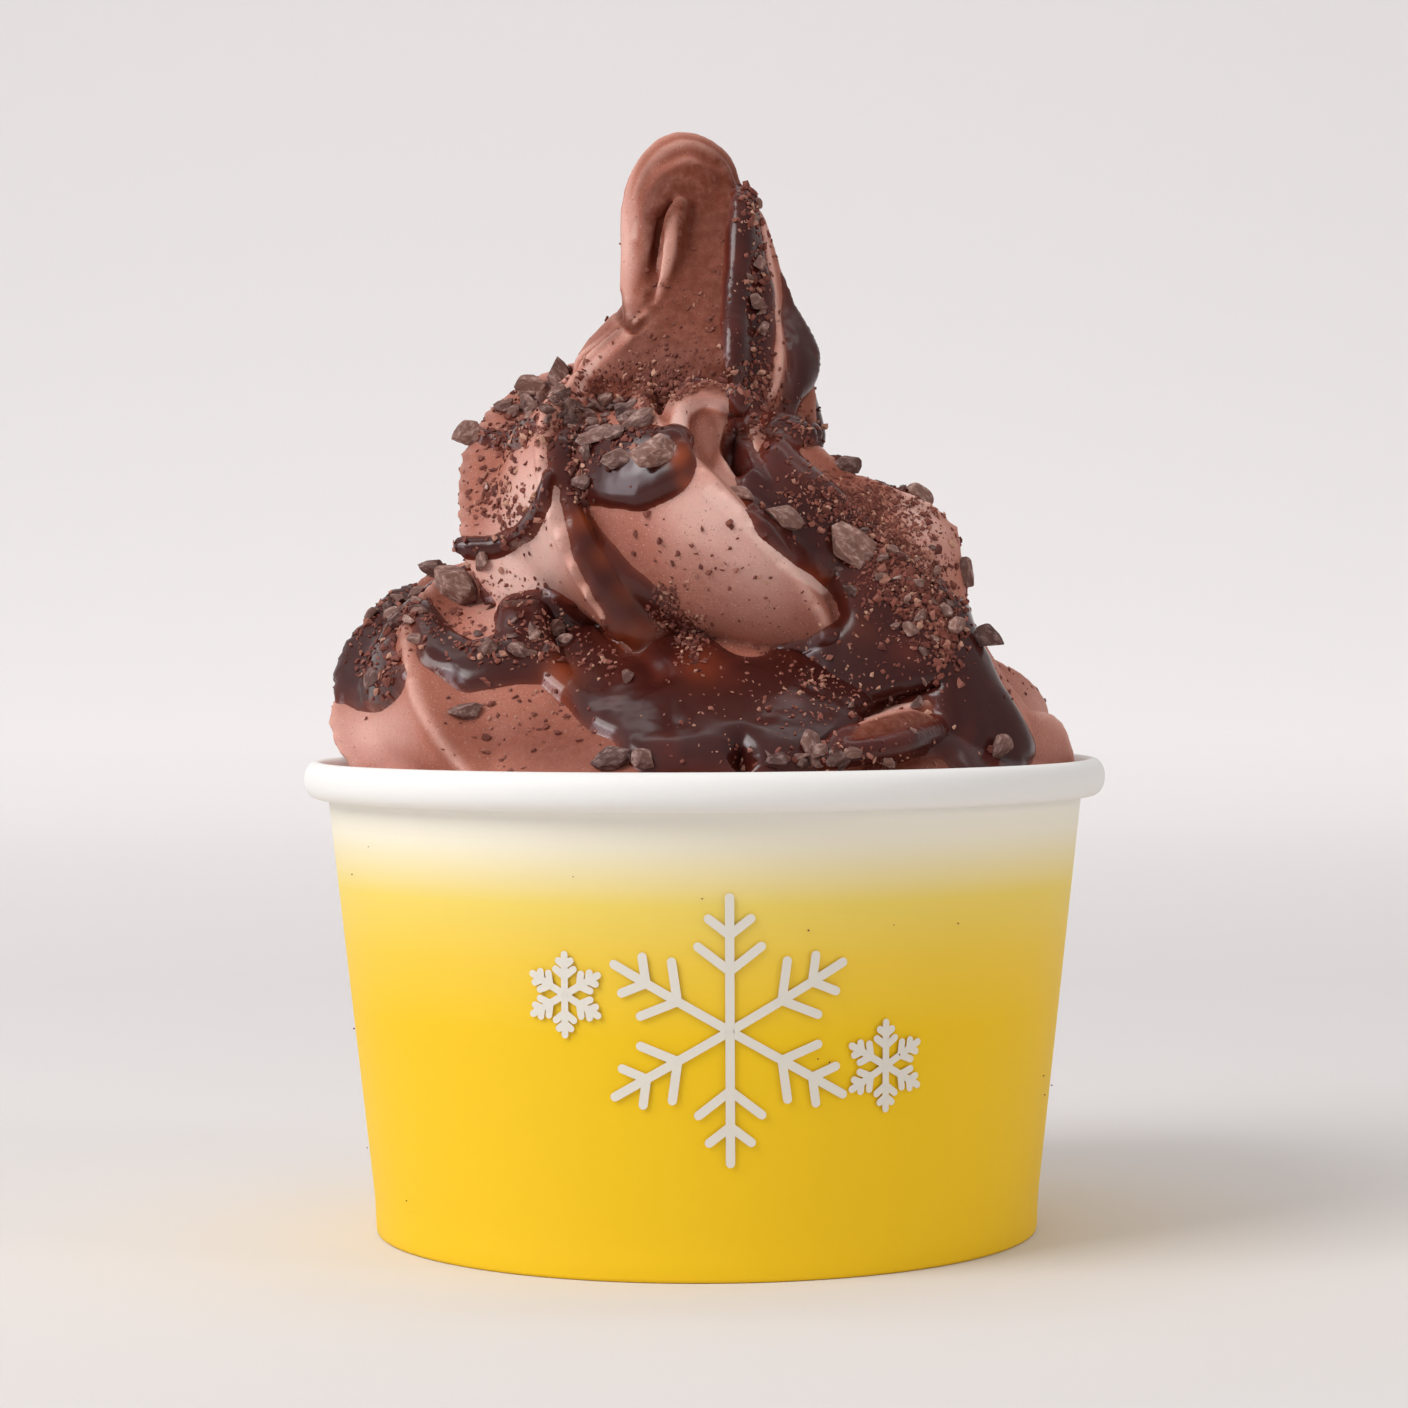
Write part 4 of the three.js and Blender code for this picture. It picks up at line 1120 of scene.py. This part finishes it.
def sleeve_profile():
    """The sleeve's closed profile, as radius, height and whether the print is on it."""
    middle = CUP_HEIGHT - RIM_HEIGHT / 2
    wall = inner_wall(middle)
    half = (RIM_RADIUS - wall) / 2
    profile = [(outer_wall(z) - rounding, z, 1) for z, rounding in FOOT_EDGE]
    top = middle - RIM_HEIGHT / 2 * 0.8
    profile += [(outer_wall(z), z, 1) for z in np.linspace(0.5, top, WALL_STEPS)]
    for degrees in range(-84, 181, 6):
        a = math.radians(degrees)
        profile.append((wall + half * (1 + math.cos(a)), middle + RIM_HEIGHT / 2 * math.sin(a), 0))
    fold = SKIRT_PAPER + 2 * CLEARANCE
    fold_top = inner_wall(FOLD_HEIGHT) - fold
    profile += [(inner_wall(z), z, 0) for z in (DISC_UNDERSIDE, PAPER)]
    profile += [(inner_wall(PAPER) - fold, PAPER, 0), (fold_top, FOLD_HEIGHT, 0)]
    profile += [(fold_top - PAPER, FOLD_HEIGHT, 0), (inner_wall(0) - fold - PAPER + FOLD_FLARE, 0, 0)]
    return profile


def make_sleeve():
    profile = sleeve_profile()
    angles = np.arange(CUP_SIDES) * 2 * math.pi / CUP_SIDES
    degrees = np.mod(np.degrees(angles) - SEAM_ANGLE + 180, 360) - 180
    step = SEAM_STEP * smooth_step(degrees, 0, 0.8) * (1 - smooth_step(degrees, SEAM_WIDTH, SEAM_FADE))
    points, printed, faces = [], [], []
    for r, (radius, z, on) in enumerate(profile):
        reach = radius - (SEAM_STEP - step) * on * min(1, z / 4)
        points.append(np.column_stack([*polar(reach, angles), np.full(CUP_SIDES, z)]))
        printed += [on] * CUP_SIDES
        faces += band(r * CUP_SIDES, (r + 1) % len(profile) * CUP_SIDES, CUP_SIDES)
    sleeve = mesh_object("cup_wall", np.vstack(points), faces)
    set_attribute(sleeve, "printed", printed)
    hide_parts("cup_sleeve")
    return finished(sleeve, cup_material())


def make_disc():
    skirt_end = PAPER + CLEARANCE
    heights = (DISC_UNDERSIDE, skirt_end, DISC_TOP)
    edge, low_edge, high_edge = (inner_wall(z) - CLEARANCE / 2 for z in heights)
    profile = [
        (0.01, DISC_TOP),
        (high_edge, DISC_TOP),
        (low_edge, skirt_end),
        (low_edge - SKIRT_PAPER, skirt_end),
        (edge - SKIRT_PAPER, DISC_UNDERSIDE - 0.7),
        (edge - SKIRT_PAPER - 0.8, DISC_UNDERSIDE),
        (0.01, DISC_UNDERSIDE),
    ]
    disc = mesh_object("cup_base", *lathe_solid(profile, CUP_SIDES))
    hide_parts("cup_disc")
    board = new_look("cup_board").shaded(BOARD_COLOUR, BOARD_ROUGHNESS, PLAIN_SPECULAR)
    return finished(disc, board)


# The printed flakes: place on the wall in millimetres round from the front, height, arm length, line width.
FLAKES = [(2.6, 27.8, 14.5, 1.0), (-15.6, 31.6, 4.4, 0.8), (20.4, 23.4, 4.8, 0.8)]
TWIGS = [(0.45, 0.3), (0.72, 0.2)]  # how far out on an arm, and how long, as shares of the arm
TWIG_ANGLE = 52
PRINT_LIFT, PRINT_STEP, PRINT_CAP = 0.04, 1.5, 6  # off the wall, length of a face, faces round an end


def way_at(angle):
    return np.array([math.cos(angle), math.sin(angle)])


def flake_lines(middle, arm):
    """Starts and ends of the lines of a six-armed flake."""
    lines = []
    for k in range(6):
        a = math.radians(30 + 60 * k)
        way = way_at(a)
        lines.append((middle, middle + way * arm))
        for out, reach in TWIGS:
            for side in (-1, 1):
                start = middle + way * arm * out
                lines.append((start, start + way_at(a + side * math.radians(TWIG_ANGLE)) * arm * reach))
    return lines


def strip(start, end, width):
    """Flat places and faces of a line with round ends."""
    way = end - start
    length = np.linalg.norm(way)
    side = np.array([-way[1], way[0]]) / length * width / 2
    steps = max(2, int(length / PRINT_STEP))
    flat = []
    for s in range(steps + 1):
        flat += [start + way * s / steps + side, start + way * s / steps - side]
    faces = [[2 * s, 2 * s + 1, 2 * s + 3, 2 * s + 2] for s in range(steps)]
    base = math.atan2(way[1], way[0])
    for middle, turn in ((end, -90), (start, 90)):
        faces.append(list(range(len(flat), len(flat) + PRINT_CAP + 1)))
        for k in range(PRINT_CAP + 1):
            flat.append(middle + width / 2 * way_at(base + math.radians(turn + 180 * k / PRINT_CAP)))
    return flat, faces


def make_print():
    """The flakes as flat strips that lie on the wall."""
    points, faces = [], []
    for x, z, arm, width in FLAKES:
        for start, end in flake_lines(np.array([x, z]), arm):
            flat, strip_faces = strip(start, end, width)
            faces += [[i + len(points) for i in face] for face in strip_faces]
            for px, pz in flat:
                radius = outer_wall(pz) + PRINT_LIFT
                a = -math.pi / 2 + px / radius
                points.append((radius * math.cos(a), radius * math.sin(a), pz))
    made = mesh_object("cup_print", np.array(points), faces)
    white = new_look("print_white").shaded(FLAKE_COLOUR, FLAKE_ROUGHNESS, PLAIN_SPECULAR)
    return finished(made, white)


def make_specks(rng, count=34):
    """Stray specks of cocoa on the cup's wall."""
    points, faces = [], []
    ball_points, ball_faces = unit_sphere(1)
    for _ in range(count):
        a = math.radians(rng.uniform(0, 360))
        z = rng.uniform(4, 48)
        middle = np.array([outer_wall(z) * math.cos(a), outer_wall(z) * math.sin(a), z])
        size = rng.uniform(0.06, 0.13)
        points.append(ball_points * size * rng.uniform(0.7, 1.3, 3) + middle)
        faces.append(ball_faces + len(ball_points) * len(faces))
    made = mesh_object("cup_specks", np.vstack(points), np.vstack(faces), smooth=False)
    set_attribute(made, "shade", rng.uniform(0, 0.9, len(made.data.vertices)))
    return finished(made, crumb_material())


# ---- Stage, light and camera ----

SWEEP_WIDTH, SWEEP_FRONT, SWEEP_BACK, SWEEP_BEND, SWEEP_TOP = 5000.0, -1500.0, 900.0, 700.0, 3500.0
SWEEP_COLOUR = (0.75, 0.72, 0.715)
WALL_GLOW, TOP_GLOW = 0.32, 0.5  # strongest low down, and what share of it is left at the top
ROOM_DARK, ROOM_BRIGHT = 0.42, 0.62
ROOM_COLOUR, BRIGHT_WAY = (0.97, 0.98, 1.0), (-0.72, 0.2, 0.66)


def make_stage():
    """A pale sweep: a floor that curves up into a wall that glows a little."""
    line = [(SWEEP_FRONT, 0.0)]
    for k in range(25):
        a = math.radians(90 * k / 24)
        line.append((SWEEP_BACK + SWEEP_BEND * math.sin(a), SWEEP_BEND - SWEEP_BEND * math.cos(a)))
    line.append((SWEEP_BACK + SWEEP_BEND, SWEEP_TOP))
    points = np.array([(x, y, z) for x in (-SWEEP_WIDTH / 2, SWEEP_WIDTH / 2) for y, z in line])
    count = len(line)
    faces = [(i, i + count, i + count + 1, i + 1) for i in range(count - 1)]
    sweep = mesh_object("sweep", points, faces)
    look = new_look("sweep")
    back = look.along_axis("Y")
    low = look.ranged(back, 300 * MM, 1100 * MM, 0, WALL_GLOW)
    high = look.ranged(back, 1100 * MM, 1560 * MM, 1, TOP_GLOW)
    glow = {"Emission_Color": SWEEP_COLOUR, "Emission_Strength": look.times(low, high)}
    sweep.data.materials.append(look.shaded(SWEEP_COLOUR, 0.9, 0.1, **glow))


# Name, place, target and size in metres, watts, colour, whether it lights surfaces, whether it shows in
# gloss: a soft lamp high at the left, a window at the left that is only a sheen, a weak fill at the right and
# a lamp for the wall behind.
MIDDLE = (0, 0, 0.07)
LAMPS = [
    ("key", (-0.8, -0.5, 0.86), MIDDLE, (0.65, 0.65), 9.8, (1.0, 0.98, 0.965), True, True),
    ("window", (-1.15, -0.45, 0.45), MIDDLE, (0.5, 0.9), 7.0, (0.93, 0.9, 1.0), False, True),
    ("fill", (1.1, -0.5, 0.45), MIDDLE, (0.24, 0.5), 2.2, (1.0, 0.89, 0.79), True, False),
    ("wall", (0, 0.35, 1.6), (0, 1.6, 0.7), (2.0, 0.4), 6.0, (1.0, 0.99, 0.985), True, True),
]


def make_lights():
    """The lamps, and a room that is brighter above and at the left."""
    for name, place, target, size, power, colour, diffuse, glossy in LAMPS:
        data = bpy.data.lights.new(name, "AREA")
        data.shape = "RECTANGLE"
        data.size, data.size_y = size
        data.energy = power
        data.color = colour
        lamp = add_object(name, data)
        lamp.location = place
        lamp.rotation_euler = (Vector(target) - Vector(place)).to_track_quat("-Z", "Y").to_euler()
        lamp.visible_diffuse = diffuse
        lamp.visible_glossy = glossy
    look = Look(bpy.data.worlds.new("room"))
    way = look.add("TexCoord", "Generated", {})
    side = look.add("VectorMath", "Value", {0: way, 1: BRIGHT_WAY}, operation="DOT_PRODUCT")
    strength = look.ranged(side, -0.3, 0.95, ROOM_DARK, ROOM_BRIGHT)
    look.feed(look.nodes["Background"], {"Color": ROOM_COLOUR, "Strength": strength})
    bpy.context.scene.world = look.owner


def make_camera():
    data = bpy.data.cameras.new("camera")
    data.lens = 90
    data.sensor_width = 36
    camera = add_object("camera", data)
    camera.location = (0, -ONLOOKER_DISTANCE * MM, ONLOOKER_HEIGHT * MM)
    camera.rotation_mode = "XYZ"
    camera.rotation_euler = (math.radians(89.0), math.radians(0.27), 0)
    bpy.context.scene.camera = camera


# ---- The scene ----

rng = np.random.default_rng(20)
swirl_points, swirl_quads = make_swirl()
sheet_points, sheet_quads = make_sauce(swirl_points, swirl_quads)
both = np.vstack([swirl_quads, sheet_quads + len(swirl_points)])
surface = BVHTree.FromPolygons(np.vstack([swirl_points, sheet_points]).tolist(), both.tolist())
balls = [unit_sphere(4), unit_sphere(3)]
nibs = scattered(nib_marks(rng), balls, surface, rng, NIB_CUTS, NIB_SUNK)
make_scatter("cocoa_nibs", nibs, nib_material())
crumbs = scattered(crumb_marks(rng), [unit_sphere(1)], surface, rng, CRUMB_CUTS, CRUMB_SUNK)
make_scatter("cocoa_crumbs", crumbs, crumb_material())
make_sleeve()
make_disc()
make_print()
make_specks(rng)
make_stage()
make_lights()
make_camera()
bpy.context.scene.view_settings.view_transform = "Standard"
